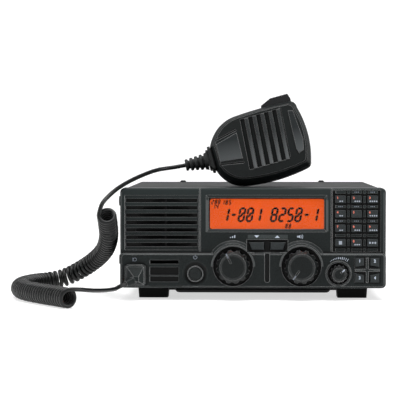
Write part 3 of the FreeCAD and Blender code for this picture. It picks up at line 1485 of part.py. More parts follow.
def mic_inside(back_depth):
    """Capsule, board, screws and the hanger button on the back."""
    inner = float(S.mic_wall) - float(S.mic_front_depth) + float(S.fit)
    capsule = Part.makeCylinder(5, MIC_BOARD_Y - inner, Vector(-4, inner, -2), Vector(0, 1, 0))
    capsule = capsule.cut(Part.makeCylinder(1.2, 1, Vector(-4, inner, -2), Vector(0, 1, 0)))
    mic_piece("mic_capsule", capsule)
    board = Part.makeBox(56, 1.6, 44, Vector(-26, MIC_BOARD_Y, -25))
    switch = Part.makeBox(8, 5, 6, Vector(18, MIC_BOARD_Y + 1.6, 12))
    mic_piece("mic_board", board.fuse(switch))
    screws = []
    for u, v in MIC_SCREWS:
        shank = Part.makeCylinder(1.05, back_depth + 4, Vector(u, -7, v), Vector(0, 1, 0))
        head = Part.makeCylinder(2.2, 1.8, Vector(u, back_depth - 3, v), Vector(0, 1, 0))
        screws.append(shank.fuse(head))
    mic_piece("mic_screws", Part.makeCompound(screws))
    stem = Part.makeCylinder(3.2, 5.2, Vector(4, back_depth + 0.05, 4), Vector(0, 1, 0))
    knob_shape = Part.makeCone(6.2, 5.2, 2.4, Vector(4, back_depth + 5.0, 4), Vector(0, 1, 0))
    mic_piece("mic_hanger", stem.fuse(knob_shape))


def push_to_talk():
    """The bar along the top edge, hinged at its left end."""
    points = [Vector(7.4, 0, 26.0), Vector(7.2, 0, 36.6), Vector(17.0, 0, 42.0), Vector(33.8, 0, 43.4),
              Vector(35.8, 0, 38.4), Vector(35.6, 0, 26.0)]
    outline = Part.Face(Part.makePolygon(points + points[:1]))
    bar = outline.extrude(Vector(0, 8.4, 0))
    bar.translate(Vector(0, -4.8, 0))
    bar = bar.makeFillet(0.8, [edge for edge in bar.Edges if edge.BoundBox.ZMin > 33.0])
    mic_piece("push_to_talk", bar)


def collar_plate(far, near, high, low, deep):
    """A slanted collar plate that lies along the shell's end, between two distances from it."""
    spots = [Vector(-47.65 - near, 0, high), Vector(-45.75 - near, 0, low), Vector(-45.75 - far, 0, low),
             Vector(-47.65 - far, 0, high)]
    plate = Part.Face(Part.makePolygon(spots + spots[:1])).extrude(Vector(0, deep, 0))
    plate.translate(Vector(0, -deep / 2, 0))
    return plate.makeFillet(2.6, [edge for edge in plate.Edges if abs(edge.BoundBox.YLength) < 0.01
                                  and edge.BoundBox.ZLength < 0.6])


def mic_relief():
    """Stepped collar plates against the shell's end and a sleeve with four fat ribs down to the cord."""
    exit_v, start, length = float(S.mic_exit_v), -47.0, float(S.relief_length)
    steps = [(0.0, 4.9), (4.5, 4.9), (4.5, 8.6), (7.6, 7.6)]
    base, count = 7.6, 4
    rib = (length - base) / count
    for index in range(count):
        size = 7.3 - 0.62 * index
        foot = base + index * rib
        steps += [(foot + 0.06 * rib, size - 1.6), (foot + 0.3 * rib, size - 1.6), (foot + 0.42 * rib, size - 0.3),
                  (foot + 0.56 * rib, size), (foot + 0.84 * rib, size), (foot + rib, size - 0.5)]
    rings = []
    for along, radius in steps:
        centre = Vector(start - along, 0, exit_v)
        rings.append(Part.Wire([Part.Circle(centre, Vector(-1, 0, 0), radius).toShape()]))
    pieces = [Part.makeLoft(rings[index:index + 2], True, True) for index in range(len(rings) - 1)
              if steps[index + 1][0] - steps[index][0] > 0.01]
    pieces.append(collar_plate(2.6, 0.15, 6.9, -16.0, 21.0))
    pieces.append(collar_plate(4.8, 2.5, 4.4, -13.8, 17.0))
    mic_piece("mic_strain_relief", pieces[0].multiFuse(pieces[1:]))


def relief_tip():
    """Where the cord leaves the microphone's strain relief, and the way that it goes."""
    where = mic_placement()
    length = float(S.relief_length)
    tip = where.multVec(Vector(-47.0 - length, 0, float(S.mic_exit_v)))
    along = where.Rotation.multVec(Vector(-1, 0, 0))
    return tip, along


# Cord

# Centre line of the curled stretch from its upper end beside the panel, back, down to the ground and forwards.
COIL_ROUTE = [
    (-130.5, -156, 78.4), (-130.3, -128, 63.0), (-133.2, -102, 51.5), (-138.4, -76, 42.3), (-147.4, -52, 33.4),
    (-161.8, -33, 23.6), (-179.5, -24, 14.8), (-196.5, -28, 10.2), (-208.0, -44, 9.6), (-213.6, -67, 9.5),
    (-215.3, -92, 9.5), (-212.6, -116, 9.5), (-204.5, -140, 9.5), (-192.4, -163, 9.5), (-178.6, -185, 9.5),
    (-167.2, -203, 9.5), (-158.3, -217, 9.5),
]
# Where round its first curl the wire begins, in degrees from the right, and round its last where it ends.
CURL_START = 152
CURL_END = 90


def smooth_line(points):
    """A clamped quadratic spline with the points as its control points."""
    curve = Part.BSplineCurve()
    count = len(points)
    inner = [index / (count - 2) for index in range(count - 1)]
    curve.buildFromPolesMultsKnots(points, [3] + [1] * (count - 3) + [3], inner, False, 2)
    return curve


def carried_frames(edge, count):
    """Points, tangents and normals along an edge, the normals carried along with no twist."""
    frames = []
    normal = Vector(1, 0, 0)
    for index in range(count + 1):
        parameter = edge.getParameterByLength(edge.Length * index / count)
        tangent = edge.tangentAt(parameter)
        tangent.normalize()
        normal = normal - tangent * normal.dot(tangent)
        normal.normalize()
        frames.append((edge.valueAt(parameter), tangent, normal))
    return frames


def bend_at(frames, index, step):
    """Curvature of the line over a centimetre to each side."""
    span = max(1, int(10 / step))
    low, high = max(0, index - span), min(len(frames) - 1, index + span)
    return frames[low][1].getAngle(frames[high][1]) / ((high - low) * step)


def pitch_at(share, bend):
    """Distance between curls: close at both ends, open between, and wider where the inside of a bend needs it."""
    close, wide = float(S.coil_close_pitch), float(S.coil_open_pitch)
    rise = min(1.0, max(0.0, (share - 0.22) / 0.12)) * min(1.0, max(0.0, (0.72 - share) / 0.12))
    least = (float(S.wire) + float(S.coil_gap)) / (1 - radius_at(share) * bend)
    return max(close + (wide - close) * rise, least)


def radius_at(share):
    """Radius of the curls at a share of the coil's length."""
    upper, lower = float(S.coil_upper_radius), float(S.coil_lower_radius)
    return upper + (lower - upper) * min(1.0, max(0.0, (share - 0.3) / 0.3))


def angle_of(direction, normal, side):
    """Angle of a direction in a frame, from its normal towards its side."""
    return math.atan2(direction.dot(side), direction.dot(normal))


def curl_points():
    """Points about half a turn apart on the curled cord, each with the way that the cord runs there."""
    edge = smooth_line([Vector(*point) for point in COIL_ROUTE]).toShape()
    fine = 4000
    frames = carried_frames(edge, fine)
    step = edge.Length / fine
    turns = [0.0]
    for index in range(1, fine + 1):
        turns.append(turns[-1] - 2 * math.pi * step / pitch_at(index / fine, bend_at(frames, index, step)))
    begin, finish = math.radians(CURL_START), math.radians(CURL_END)
    first, last = frames[0], frames[-1]
    start = angle_of(Vector(math.cos(begin), 0, math.sin(begin)), first[2], first[1].cross(first[2]))
    level = Vector(-last[1].y, last[1].x, 0)
    aim = level * math.cos(finish) + Vector(0, 0, math.sin(finish))
    end = angle_of(aim, last[2], last[1].cross(last[2]))
    whole = 2 * math.pi * round((turns[-1] + start - end) / (2 * math.pi)) + end - start
    count = round(abs(whole) / math.pi)

    def spot(index):
        point, tangent, normal = frames[index]
        turn, radius = start + turns[index] * whole / turns[-1], radius_at(index / fine)
        return point + normal * (radius * math.cos(turn)) + tangent.cross(normal) * (radius * math.sin(turn))

    points, mark = [], 0
    for index in range(fine + 1):
        if abs(turns[index]) >= abs(turns[-1]) * mark / count - 1e-9:
            way = spot(min(fine, index + 1)) - spot(max(0, index - 1))
            way.normalize()
            points.append((spot(index), way))
            mark += 1
    return points


def arc_between(start, way, end):
    """Arc from a point, leaving it in a direction, to another point."""
    chord = end - start
    normal = way.cross(chord)
    normal.normalize()
    inward = normal.cross(way)
    radius = chord.dot(chord) / (2 * chord.dot(inward))
    centre = start + inward * radius
    bulge = (start + end) * 0.5 - centre
    bulge.normalize()
    if way.getAngle(chord) > math.pi / 2:
        bulge = bulge * -1
    return Part.Arc(start, centre + bulge * radius, end).toShape()


def biarc(start, way_out, end, way_in):
    """Two arcs that join two points and run smoothly out of one and into the other."""
    chord, both = end - start, way_out + way_in
    a, b, c = 2 * (1 - way_out.dot(way_in)), 2 * chord.dot(both), -chord.dot(chord)
    reach = -c / b if abs(a) < 1e-9 else (-b + math.sqrt(b * b - 4 * a * c)) / (2 * a)
    middle = (start + way_out * reach + end - way_in * reach) * 0.5
    first = arc_between(start, way_out, middle)
    second = arc_between(middle, first.tangentAt(first.LastParameter), end)
    return [first, second]


def least_gap(points, wire, near):
    """Least clear distance between curls, on points along the cord that are further apart than near."""
    least = 1e9
    cells = {}
    size = 8.0
    for index, point in enumerate(points):
        cells.setdefault((int(point.x // size), int(point.y // size), int(point.z // size)), []).append(index)
    for (i, j, k), members in cells.items():
        around = [n for a in (-1, 0, 1) for b in (-1, 0, 1) for c in (-1, 0, 1)
                  for n in cells.get((i + a, j + b, k + c), [])]
        for first in members:
            for other in around:
                if other - first > near:
                    least = min(least, points[first].distanceToPoint(points[other]))
    return least - wire


def coil():
    """The curled stretch as one unbroken tube, with the ends that its leads meet."""
    marks = curl_points()
    wire = float(S.wire)
    edges = []
    start, way = marks[0]
    first_end = start - way * wire
    edges.append(Part.LineSegment(first_end, start).toShape())
    for (a, way_a), (b, way_b) in zip(marks, marks[1:]):
        edges += biarc(a, way_a, b, way_b)
    last, last_way = marks[-1]
    last_end = last + last_way * wire
    edges.append(Part.LineSegment(last, last_end).toShape())
    path = Part.Wire(edges)
    section = Part.Wire([Part.Circle(first_end, way, wire / 2).toShape()])
    solid = path.makePipeShell([section], True, False)
    samples = [point for edge in edges[1:-1] for point in edge.discretize(7)[:-1]]
    share = solid.Volume / (math.pi * wire**2 / 4 * path.Length)
    tightest = min(edge.Curve.Radius for edge in edges[1:-1])
    print(f"coil: {len(marks) / 2:.0f} curls, wire length {path.Length:.0f}, volume share {share:.4f}, "
          f"least gap {least_gap(samples, wire, 12):.2f}, tightest radius {tightest:.1f}")
    part("cord_coil", raw(solid))
    return (first_end, way), (last_end, last_way)


def cord():
    """The two leads and the coil between the microphone and its plug."""
    (upper, upper_way), (lower, lower_way) = coil()
    wire = float(S.wire)
    tip, along = relief_tip()
    hand = [Vector(*point) for point in UPPER_LEAD]
    route = [tip, tip + along * 12] + hand + [upper - upper_way * 16, upper]
    part("cord_upper_lead", raw(tube(route, wire / 2)))
    exit_point, exit_way = plug_exit()
    hand = [Vector(*point) for point in LOWER_LEAD]
    route = [exit_point, exit_point + exit_way * 10] + hand + [lower + lower_way * 11.2, lower]
    part("cord_lower_lead", raw(tube(route, wire / 2)))


UPPER_LEAD = [(-87.3, -73.9, 118.0), (-98.0, -89.1, 115.5), (-112.4, -110.9, 109.9), (-124.1, -131.1, 105.9)]
LOWER_LEAD = [(-131.7, -159, 10.4), (-136.2, -178, 11.0), (-135.6, -198.3, 15.2)]


def write_parts():
    """Rebuild, check every object and sub-part, and write one STEP file for each."""
    DOC.recompute()
    for thing in DOC.Objects:
        bad = {"Invalid", "Error"} & set(thing.State)
        assert not bad, f"{thing.Label} is {bad}"
    for name, thing in PARTS.items():
        shape = thing.Shape
        assert not shape.isNull() and shape.isValid() and shape.Solids, f"{name} has no valid solid"
    os.makedirs("parts", exist_ok=True)
    for name, thing in PARTS.items():
        thing.Shape.exportStep(f"parts/{name}.step")
    print(len(PARTS), "sub-parts written")


def main():
    """Build every sub-part and write the files."""
    front_panel()
    display()
    keys()
    key_mats()
    knobs()
    controls()
    front_board()
    loudspeaker()
    main_board()
    chassis()
    case_screws()
    top_cover()
    bottom_cover()
    feet()
    tilt_stand()
    heat_sink()
    fan()
    rear_sockets()
    mic_connection()
    microphone()
    cord()
    write_parts()


main()
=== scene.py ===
"""Looks of a desktop HF transceiver with its hand microphone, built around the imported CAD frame.

The CAD nodes keep their shapes and get their finishes here. The pieces made here are the curly cord, the mask and
the reading on the display, the printed marks, the key legends, the index lines of the knobs and a small collar.
"""

import logging
import math
from bisect import bisect_left, bisect_right
from contextlib import contextmanager
from dataclasses import dataclass, field
from enum import Enum
from functools import reduce
from typing import Callable, Iterator, Optional, Sequence

import bpy
from mathutils import Matrix, Vector


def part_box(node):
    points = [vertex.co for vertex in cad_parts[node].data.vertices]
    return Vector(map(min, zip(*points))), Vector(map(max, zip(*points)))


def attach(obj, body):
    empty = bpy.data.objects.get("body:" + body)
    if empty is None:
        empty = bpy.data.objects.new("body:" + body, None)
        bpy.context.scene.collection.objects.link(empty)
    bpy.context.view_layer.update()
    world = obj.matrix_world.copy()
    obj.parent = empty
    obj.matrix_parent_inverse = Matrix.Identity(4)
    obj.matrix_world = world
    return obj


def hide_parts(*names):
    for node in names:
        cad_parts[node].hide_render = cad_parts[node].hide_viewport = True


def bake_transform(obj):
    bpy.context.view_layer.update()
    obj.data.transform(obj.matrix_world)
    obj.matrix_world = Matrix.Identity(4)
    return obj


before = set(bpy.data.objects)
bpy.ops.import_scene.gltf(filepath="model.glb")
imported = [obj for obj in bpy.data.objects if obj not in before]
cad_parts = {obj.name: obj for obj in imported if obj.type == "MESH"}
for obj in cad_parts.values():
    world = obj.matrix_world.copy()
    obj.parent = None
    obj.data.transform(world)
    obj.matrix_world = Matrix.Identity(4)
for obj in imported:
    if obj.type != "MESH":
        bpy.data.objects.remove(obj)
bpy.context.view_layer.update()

LOG = logging.getLogger("transceiver")
MM = 0.001

# Edges whose ends differ by more than this along Y run in from the front, in metres.
LEVEL = 1e-7
# Planes that printed marks lie on, in millimetres along Y.
FACE_Y = -126.0
BAND_Y = -129.0
# The microphone's middle, how far its face stands in front of it, and how it tilts and leans back, in degrees.
MIC_MIDDLE = (7.6, -62.0, 139.95)
MIC_FACE = 16.0
MIC_TILT = 11.0
MIC_LEAN = 11.0

Colour = tuple[float, float, float, float]
Tree = bpy.types.NodeTree
Piece = bpy.types.Object


def mm(*values: float) -> Vector:
    """A point given in millimetres, in metres."""
    return Vector(values) * MM


def mic_turn() -> Matrix:
    """How the microphone is turned out of its own upright frame."""
    return Matrix.Rotation(math.radians(-MIC_LEAN), 4, "X") @ Matrix.Rotation(math.radians(-MIC_TILT), 4, "Y")


def linear(colour: Sequence[float]) -> Colour:
    """Turn a display colour, given from 0 to 255, into the linear one that shaders use, with full alpha."""
    parts = [c / 255 for c in colour]
    done = [p / 12.92 if p <= 0.04045 else ((p + 0.055) / 1.055) ** 2.4 for p in parts]
    return (*done, 1.0)


def tinted(colour: Colour, scale: float, lift: float = 0.0) -> Colour:
    """A linear colour scaled and then lifted, at most up to white."""
    return (*(min(1.0, part * scale + lift) for part in colour[:3]), 1.0)


class Pick(Enum):
    """What a pick in edit mode takes hold of."""

    FACES = "FACE"
    EDGES = "EDGE"
    CORNERS = "VERT"


# Finishes


@dataclass(frozen=True)
class Finish:
    """How one material looks. Lengths are in millimetres."""

    name: str
    colour: tuple[float, float, float]
    roughness: float = 0.5
    metallic: float = 0.0
    grain: float = 0.5
    relief: float = 0.012
    drift: float = 0.12
    # Edges painted paler, partly rubbing and partly a painted highlight, and how wide that band is.
    wear: float = 0.35
    edge: float = 0.45
    coat: float = 0.0
    specular: float = 0.5
    glow: float = 0.0
    clear: float = 0.0
    # How far the pale edges' colour is lifted, as painted highlight.
    polish: float = 0.05
    # How far the painted shade in crevices reaches, from ambient occlusion.
    crevice: float = 0.0
    speckle: float = 0.0
    # Painted sheen on the microphone's proud parts, and the painted highlight near their lower ends.
    raised: Optional[tuple[float, float, float]] = None
    buffed: Optional[tuple[float, float, float]] = None
    # The front panel's painted shade, painted highlights and paler upper part.
    floors: bool = False
    # Painted shade on the knobs' fluted skirts, down in the wells.
    skirt: bool = False


# The front panel gets painted shade in its recesses and gaps, painted highlights on rims, pale edges that are partly
# rubbing and partly painted highlight, and a paler upper part painted as if lit from above.
PANEL = Finish(
    "moulded_panel", (22, 27, 27), roughness=0.46, grain=0.9, relief=0.04, wear=1.0, edge=1.1, specular=0.16,
    polish=0.3, crevice=4.0, speckle=0.5, floors=True,
)
# Its painted shade in hollows also darkens it where the microphone touches.
COVER = Finish(
    "textured_paint", (42, 43, 44), roughness=0.7, grain=0.6, relief=0.03, wear=0.4, specular=0.25, speckle=0.2,
    crevice=5.0,
)
CAST = Finish("cast_frame", (80, 82, 84), roughness=0.5, metallic=0.75, grain=1.1, relief=0.03, crevice=3.0)
KEYS = Finish(
    "moulded_keys", (40, 44, 45), roughness=0.46, grain=0.5, relief=0.012, wear=0.8, edge=0.7, specular=0.2,
    polish=0.14, crevice=1.6, speckle=0.35,
)
# Painted shade on the skirts down in the wells, and pale edges partly painted as highlight.
KNOBS = Finish(
    "satin_knobs", (15, 19, 19), roughness=0.4, grain=0.9, relief=0.03, wear=1.0, edge=0.9, specular=0.18,
    polish=0.24, crevice=2.4, speckle=0.6, skirt=True,
)
POWER = Finish(
    "satin_button", (25, 29, 29), roughness=0.42, grain=0.9, relief=0.02, wear=0.9, edge=0.6, specular=0.18,
    polish=0.12, crevice=2.4, speckle=0.5,
)
# Its proud parts are painted lighter as sheen, up to a painted highlight near their lower ends.
MIC_FRONT = Finish(
    "satin_microphone", (14, 18, 18), roughness=0.42, grain=0.6, relief=0.01, wear=1.0, edge=1.0, specular=0.2,
    polish=0.16, crevice=2.0, speckle=0.25, raised=(28, 32, 33), buffed=(84, 87, 88),
)
MIC_BACK = Finish("black_microphone_back", (14, 15, 16), grain=0.5, relief=0.008, wear=0.3, specular=0.2)
BUTTON = Finish("talk_bar", (18, 19, 20), relief=0.006, specular=0.25)
RELIEF = Finish("strain_relief_rubber", (22, 24, 24), grain=0.4, relief=0.006, specular=0.3, crevice=2.5)
JACKET = Finish(
    "cord_jacket", (8, 10, 10), roughness=0.34, grain=0.8, relief=0.004, drift=0.08, wear=0.0, specular=0.3,
    crevice=3.0,
)
RUBBER = Finish("black_rubber", (14, 14, 15), roughness=0.75, grain=0.4, specular=0.2)
FEET = Finish("foot_plastic", (4, 5, 5), roughness=0.6, grain=0.4, relief=0.01, wear=0.2, specular=0.1, crevice=4.0)
STAND = Finish("stand_wire", (9, 9, 10), grain=0.4, relief=0.004, wear=0.2, specular=0.2)
SILICONE = Finish("key_silicone", (22, 23, 24), roughness=0.6, relief=0.006, specular=0.3)
SOCKET = Finish("socket_plastic", (20, 20, 21), grain=0.4, relief=0.008, specular=0.3, crevice=3.0)
NICKEL = Finish("nickel_plate", (190, 190, 188), roughness=0.22, metallic=1.0, grain=0.6, relief=0.004)
BRASS = Finish("plated_brass", (196, 170, 110), roughness=0.28, metallic=1.0, grain=0.6, relief=0.004)
SCREWS = Finish("blackened_screws", (50, 50, 52), roughness=0.35, metallic=0.85, relief=0.004)
CAN = Finish("plated_cans", (165, 166, 168), roughness=0.35, metallic=0.9, grain=0.7, relief=0.004)
BOARD = Finish("green_boards", (16, 64, 38), roughness=0.38, relief=0.01, coat=0.3)
SPEAKER = Finish("speaker_black", (8, 8, 9), roughness=0.7, grain=0.6, relief=0.02, specular=0.15)
FAN = Finish("fan_plastic", (20, 21, 22), roughness=0.46, relief=0.006, specular=0.3, crevice=3.0)
WINDOW = Finish("clear_window", (250, 250, 250), roughness=0.04, grain=5, relief=0.0, wear=0.0, clear=1.0)
AMBER = Finish(
    "amber_glass", (222, 82, 14), roughness=0.4, grain=2, relief=0.0, drift=0.05, wear=0.0, glow=0.42, specular=0.1
)
GUIDE = Finish("amber_light_guide", (230, 96, 30), roughness=0.3, grain=2, relief=0.0, wear=0.0, glow=0.4)
SEGMENTS = Finish("display_segments", (12, 5, 4), roughness=0.6, grain=1, relief=0.0, wear=0.0, specular=0.1)
PRINT = Finish("pale_print", (186, 196, 210), grain=0.4, relief=0.0, wear=0.0, drift=0.1)
DIM_PRINT = Finish("dim_print", (112, 119, 130), grain=0.4, relief=0.0, wear=0.0, drift=0.15)
KEY_PRINT = Finish("key_print", (150, 157, 168), grain=0.4, relief=0.0, wear=0.0, drift=0.1)
STRIP = Finish("label_strip", (52, 57, 57), relief=0.01, wear=0.0, specular=0.16, speckle=0.4)
MASK = Finish("display_mask", (6, 5, 5), relief=0.004, wear=0.0, specular=0.2)
DIGITS = Finish("key_digits", (212, 112, 92), grain=0.4, relief=0.0, wear=0.0, drift=0.1, glow=0.15)


@dataclass(frozen=True)
class Recipe:
    """The amounts that all materials share."""

    grain_smoothness: float = 0.7
    grain_mix: float = 0.35
    drift_size: float = 28.0
    drift_roughness: float = 0.62
    drifts: tuple = (("Tone", 1.0, 5), ("Gloss", 2.3, 3), ("Speckle", 34.0, 2))
    noise: tuple[float, float] = (0.3, 0.7)
    gloss: tuple[float, float] = (0.9, 1.12)
    least_roughness: float = 0.02
    coat_roughness: float = 0.18
    window_ior: float = 1.2
    # Where edges turn pale, partly rubbing and partly a painted highlight.
    worn: tuple[float, float] = (0.995, 0.80)
    # Range of the painted shade in crevices.
    crevice: tuple[float, float] = (0.92, 0.5)
    samples: int = 6
    swell: float = 0.2
    # How much paler edges are painted, partly rubbing and partly highlight.
    pale: float = 1.8
    # How dark painted shade gets against the finish's own colour.
    dark: float = 0.08
    # How much paler the upper part is painted, as if lit more from above.
    faded: float = 1.9
    # How dark the knobs' skirts are painted, as shade down in the wells.
    skirt: float = 0.25
    # Share and colour of the painted highlights on rims, and how far calm places hold back the pale edges.
    lit: float = 0.8
    calm: float = 0.72
    polished: tuple[float, float, float] = (76, 79, 79)


@dataclass(frozen=True)
class PanelPlaces:
    """Where the front panel gets painted shade, painted highlights, calmer edges and a paler upper part painted as if
    lit from above. Millimetres; a box is left, right, lower, upper.
    """

    # Where painted shade starts behind the face and the band, and how soon it is full.
    floor_start: float = 0.8
    band_start: float = 1.1
    floor_ramp: float = 0.4
    floor_back_y: float = -119.0
    band_top: float = 42.5
    display_middle: float = 12.6
    display_reach: float = 58.0
    display_under: float = 60.0
    inside: float = 117.5
    upright: tuple[float, float] = (14.5, 100.5)
    # A ring of painted shade in the gap round the power button.
    power_middle: tuple[float, float] = (-52.1, 24.5)
    power_ring: tuple[float, float] = (8.2, 10.0)
    # Painted highlight arcs on the wells' rims, brightest at both sides.
    hood_middles: tuple = ((-17.9, 30.8), (43.9, 30.8))
    hood_ring: tuple[float, float] = (18.4, 20.0)
    # Depths over which the knobs' skirts get painted shade.
    skirt_y: tuple[float, float] = (-141.0, -139.4)
    # Heights over which the upper part is painted paler, as if lit more from above.
    fade_z: tuple[float, float] = (62.0, 100.0)
    # Painted shade round the soft keys and under the ledge.
    dark_boxes: tuple = (
        (92.0, 102.0, 29.9, 39.8), (105.4, 115.4, 29.9, 39.8), (92.0, 102.0, 15.6, 26.3),
        (105.4, 115.4, 15.6, 26.3), (-118.6, -37.5, 42.7, 43.8), (63.5, 117.5, 42.7, 43.8),
    )
    # Painted highlights on the ledge, the display's bevels, the panel's sides and the strips between the rows of soft
    # keys.
    lit_boxes: tuple = (
        (-118.6, -37.5, 41.5, 42.6), (63.5, 117.5, 41.5, 42.6), (-42.6, -40.4, 62.6, 90.8), (66.2, 68.4, 62.6, 90.8),
        (-119.6, -118.7, 46.0, 98.0), (118.2, 119.2, 15.0, 98.0), (93.0, 99.0, 27.2, 28.9), (109.0, 115.0, 27.2, 28.9),
    )
    calm_boxes: tuple = ((-115.5, -49.0, 44.5, 98.5), (75.5, 117.0, 44.5, 99.5), (-93.0, -64.0, 12.0, 38.5))


@dataclass(frozen=True)
class MicPlaces:
    """Levels on the microphone's face, in millimetres out of the face or down from its middle: proud parts get painted
    sheen that grows into a painted highlight toward the lower end, and sunk lines get painted shade.
    """

    proud: tuple[float, float] = (0.40, 0.62)
    buffed: tuple[float, float] = (-8.0, 22.0)
    # Levels of the sunk lines that get painted shade.
    above: tuple[float, float] = (-1.3, -1.0)
    below: tuple[float, float] = (-0.2, -0.35)


RECIPE = Recipe()
PLACES = PanelPlaces()
MIC_LEVELS = MicPlaces()


class Paintbox:
    """Makes the shared node groups once, and one material for each finish."""

    def __init__(self) -> None:
        """Start with no materials and build the shared groups."""
        self.made: dict[str, bpy.types.Material] = {}
        self.grain = self.build_grain()
        self.drift = self.build_drift()
        self.edges = self.build_edges()
        self.crevices = self.build_crevices()
        self.raised = self.build_raised()
        self.floors = self.build_floors()
        self.skirts = self.build_skirts()

    def group(self, name: str, inputs: Sequence[str], outputs: Sequence[str]):
        """Start a shader node group whose sockets are numbers, apart from a normal.

        Args:
            name: The group's name.
            inputs: The names of its inputs.
            outputs: The names of its outputs.

        Returns:
            The node tree, and inside it the sockets of the inputs and of the outputs.
        """
        tree = bpy.data.node_groups.new(name, "ShaderNodeTree")
        for way, labels in (("INPUT", inputs), ("OUTPUT", outputs)):
            for label in labels:
                kind = "NodeSocketVector" if label == "Normal" else "NodeSocketFloat"
                tree.interface.new_socket(label, in_out=way, socket_type=kind)
        return tree, tree.nodes.new("NodeGroupInput").outputs, tree.nodes.new("NodeGroupOutput").inputs

    def node(self, tree: Tree, kind: str, inputs: Optional[dict] = None, **settings):
        """Add a shader node.

        Args:
            tree: The tree to add it to.
            kind: Its type, without the word that all shader nodes start with.
            inputs: For its inputs, by name or number, a socket to link or a plain value.
            settings: Its own settings.

        Returns:
            Its outputs.
        """
        node = tree.nodes.new(f"ShaderNode{kind}")
        for label, value in settings.items():
            setattr(node, label, value)
        for label, value in (inputs or {}).items():
            if isinstance(value, bpy.types.NodeSocket):
                tree.links.new(value, node.inputs[label])
            else:
                node.inputs[label].default_value = value
        return node.outputs

    def math(self, tree: Tree, operation: str, first, second=0.0):
        """One sum of sockets or numbers, named by Blender's own word."""
        return self.node(tree, "Math", {0: first, 1: second}, operation=operation)[0]

    def chain(self, tree: Tree, operation: str, values: Sequence):
        """The same sum taken through a row of sockets."""
        return reduce(lambda first, second: self.math(tree, operation, first, second), values)

    def ramp(self, tree: Tree, value, start: Sequence[float], end: Sequence[float] = (0.0, 1.0)):
        """Spread a socket's value between two limits over 0 to 1, or over two other limits."""
        limits = {"From Min": start[0], "From Max": start[1], "To Min": end[0], "To Max": end[1]}
        return self.node(tree, "MapRange", {"Value": value, **limits})["Result"]

    def mixed(self, tree: Tree, first, second, share):
        """Blend two colours, each a socket or a linear colour, by a mask's socket."""
        return self.node(tree, "Mix", {6: first, 7: second, 0: share}, data_type="RGBA")[2]

    def place(self, tree: Tree):
        """The socket of the place on the object."""
        return self.node(tree, "TexCoord")["Object"]

    def along(self, tree: Tree, way: Vector):
        """How far the place on the object lies along a direction."""
        return self.node(tree, "VectorMath", {0: self.place(tree), 1: way}, operation="DOT_PRODUCT")["Value"]

    def within(self, tree: Tree, value, low: float, high: float):
        """1 where a length in metres lies between two limits in millimetres, else 0."""
        above = self.math(tree, "GREATER_THAN", value, low * MM)
        return self.math(tree, "MULTIPLY", above, self.math(tree, "LESS_THAN", value, high * MM))

    def boxes(self, tree: Tree, x, z, places: Sequence[Sequence[float]]) -> list:
        """For each box of the panel, a mask that is 1 inside it."""
        return [
            self.math(tree, "MULTIPLY", self.within(tree, x, *place[:2]), self.within(tree, z, *place[2:]))
            for place in places
        ]

    def ring(self, tree: Tree, x, z, middle: Sequence[float], radii: Sequence[float]):
        """1 between two circles round a middle on the panel, all in millimetres."""
        sides = [
            self.math(tree, "POWER", self.math(tree, "SUBTRACT", value, at * MM), 2.0)
            for value, at in zip((x, z), middle)
        ]
        return self.within(tree, self.math(tree, "SQRT", self.chain(tree, "ADD", sides)), *radii)

    def build_grain(self) -> Tree:
        """Fine moulded grain: the height of small pebbles with a softer swell, by the number of each per metre."""
        tree, given, out = self.group("moulded_grain", ("Fine", "Swell"), ("Height",))
        place = self.place(tree)
        pebbles = self.node(
            tree, "TexVoronoi", {"Vector": place, "Scale": given["Fine"], "Smoothness": RECIPE.grain_smoothness},
            feature="SMOOTH_F1",
        )
        swell = self.node(tree, "TexNoise", {"Vector": place, "Scale": given["Swell"], "Detail": 2})
        heights = {0: RECIPE.grain_mix, 2: pebbles["Distance"], 3: swell["Fac"]}
        tree.links.new(self.node(tree, "Mix", heights, data_type="FLOAT")[0], out["Height"])
        return tree

    def build_drift(self) -> Tree:
        """Slow change of tone and gloss over a surface and the flecks of its grain, each from 0 to 1."""
        tree, given, out = self.group("tone_drift", ("Size",), ("Tone", "Gloss", "Speckle"))
        place = self.place(tree)
        for label, factor, detail in RECIPE.drifts:
            scale = self.math(tree, "MULTIPLY", given["Size"], factor)
            noise = {"Vector": place, "Scale": scale, "Detail": detail, "Roughness": RECIPE.drift_roughness}
            tree.links.new(self.node(tree, "TexNoise", noise)["Fac"], out[label])
        return tree

    def build_edges(self) -> Tree:
        """Edges rounded a little and painted paler, partly as rubbing and partly as a painted highlight: the rounded
        normal, and from 0 to 1 how pale they are painted.
        """
        tree, given, out = self.group("rubbed_and_highlit_edges", ("Width",), ("Normal", "WornAndHighlit"))
        bevel = self.node(tree, "Bevel", {"Radius": given["Width"]}, samples=RECIPE.samples)["Normal"]
        shape = self.node(tree, "NewGeometry")["Normal"]
        agree = self.node(tree, "VectorMath", {0: bevel, 1: shape}, operation="DOT_PRODUCT")["Value"]
        tree.links.new(bevel, out["Normal"])
        tree.links.new(self.ramp(tree, agree, RECIPE.worn), out["WornAndHighlit"])
        return tree

    def build_crevices(self) -> Tree:
        """Painted shade in grooves, gaps and inner corners, where light hardly gets, as a mask from 0 to 1."""
        tree, given, out = self.group("painted_occlusion_shade", ("Reach",), ("PaintedShade",))
        closed = self.node(tree, "AmbientOcclusion", {"Distance": given["Reach"]}, samples=RECIPE.samples)["AO"]
        tree.links.new(self.ramp(tree, closed, RECIPE.crevice), out["PaintedShade"])
        return tree

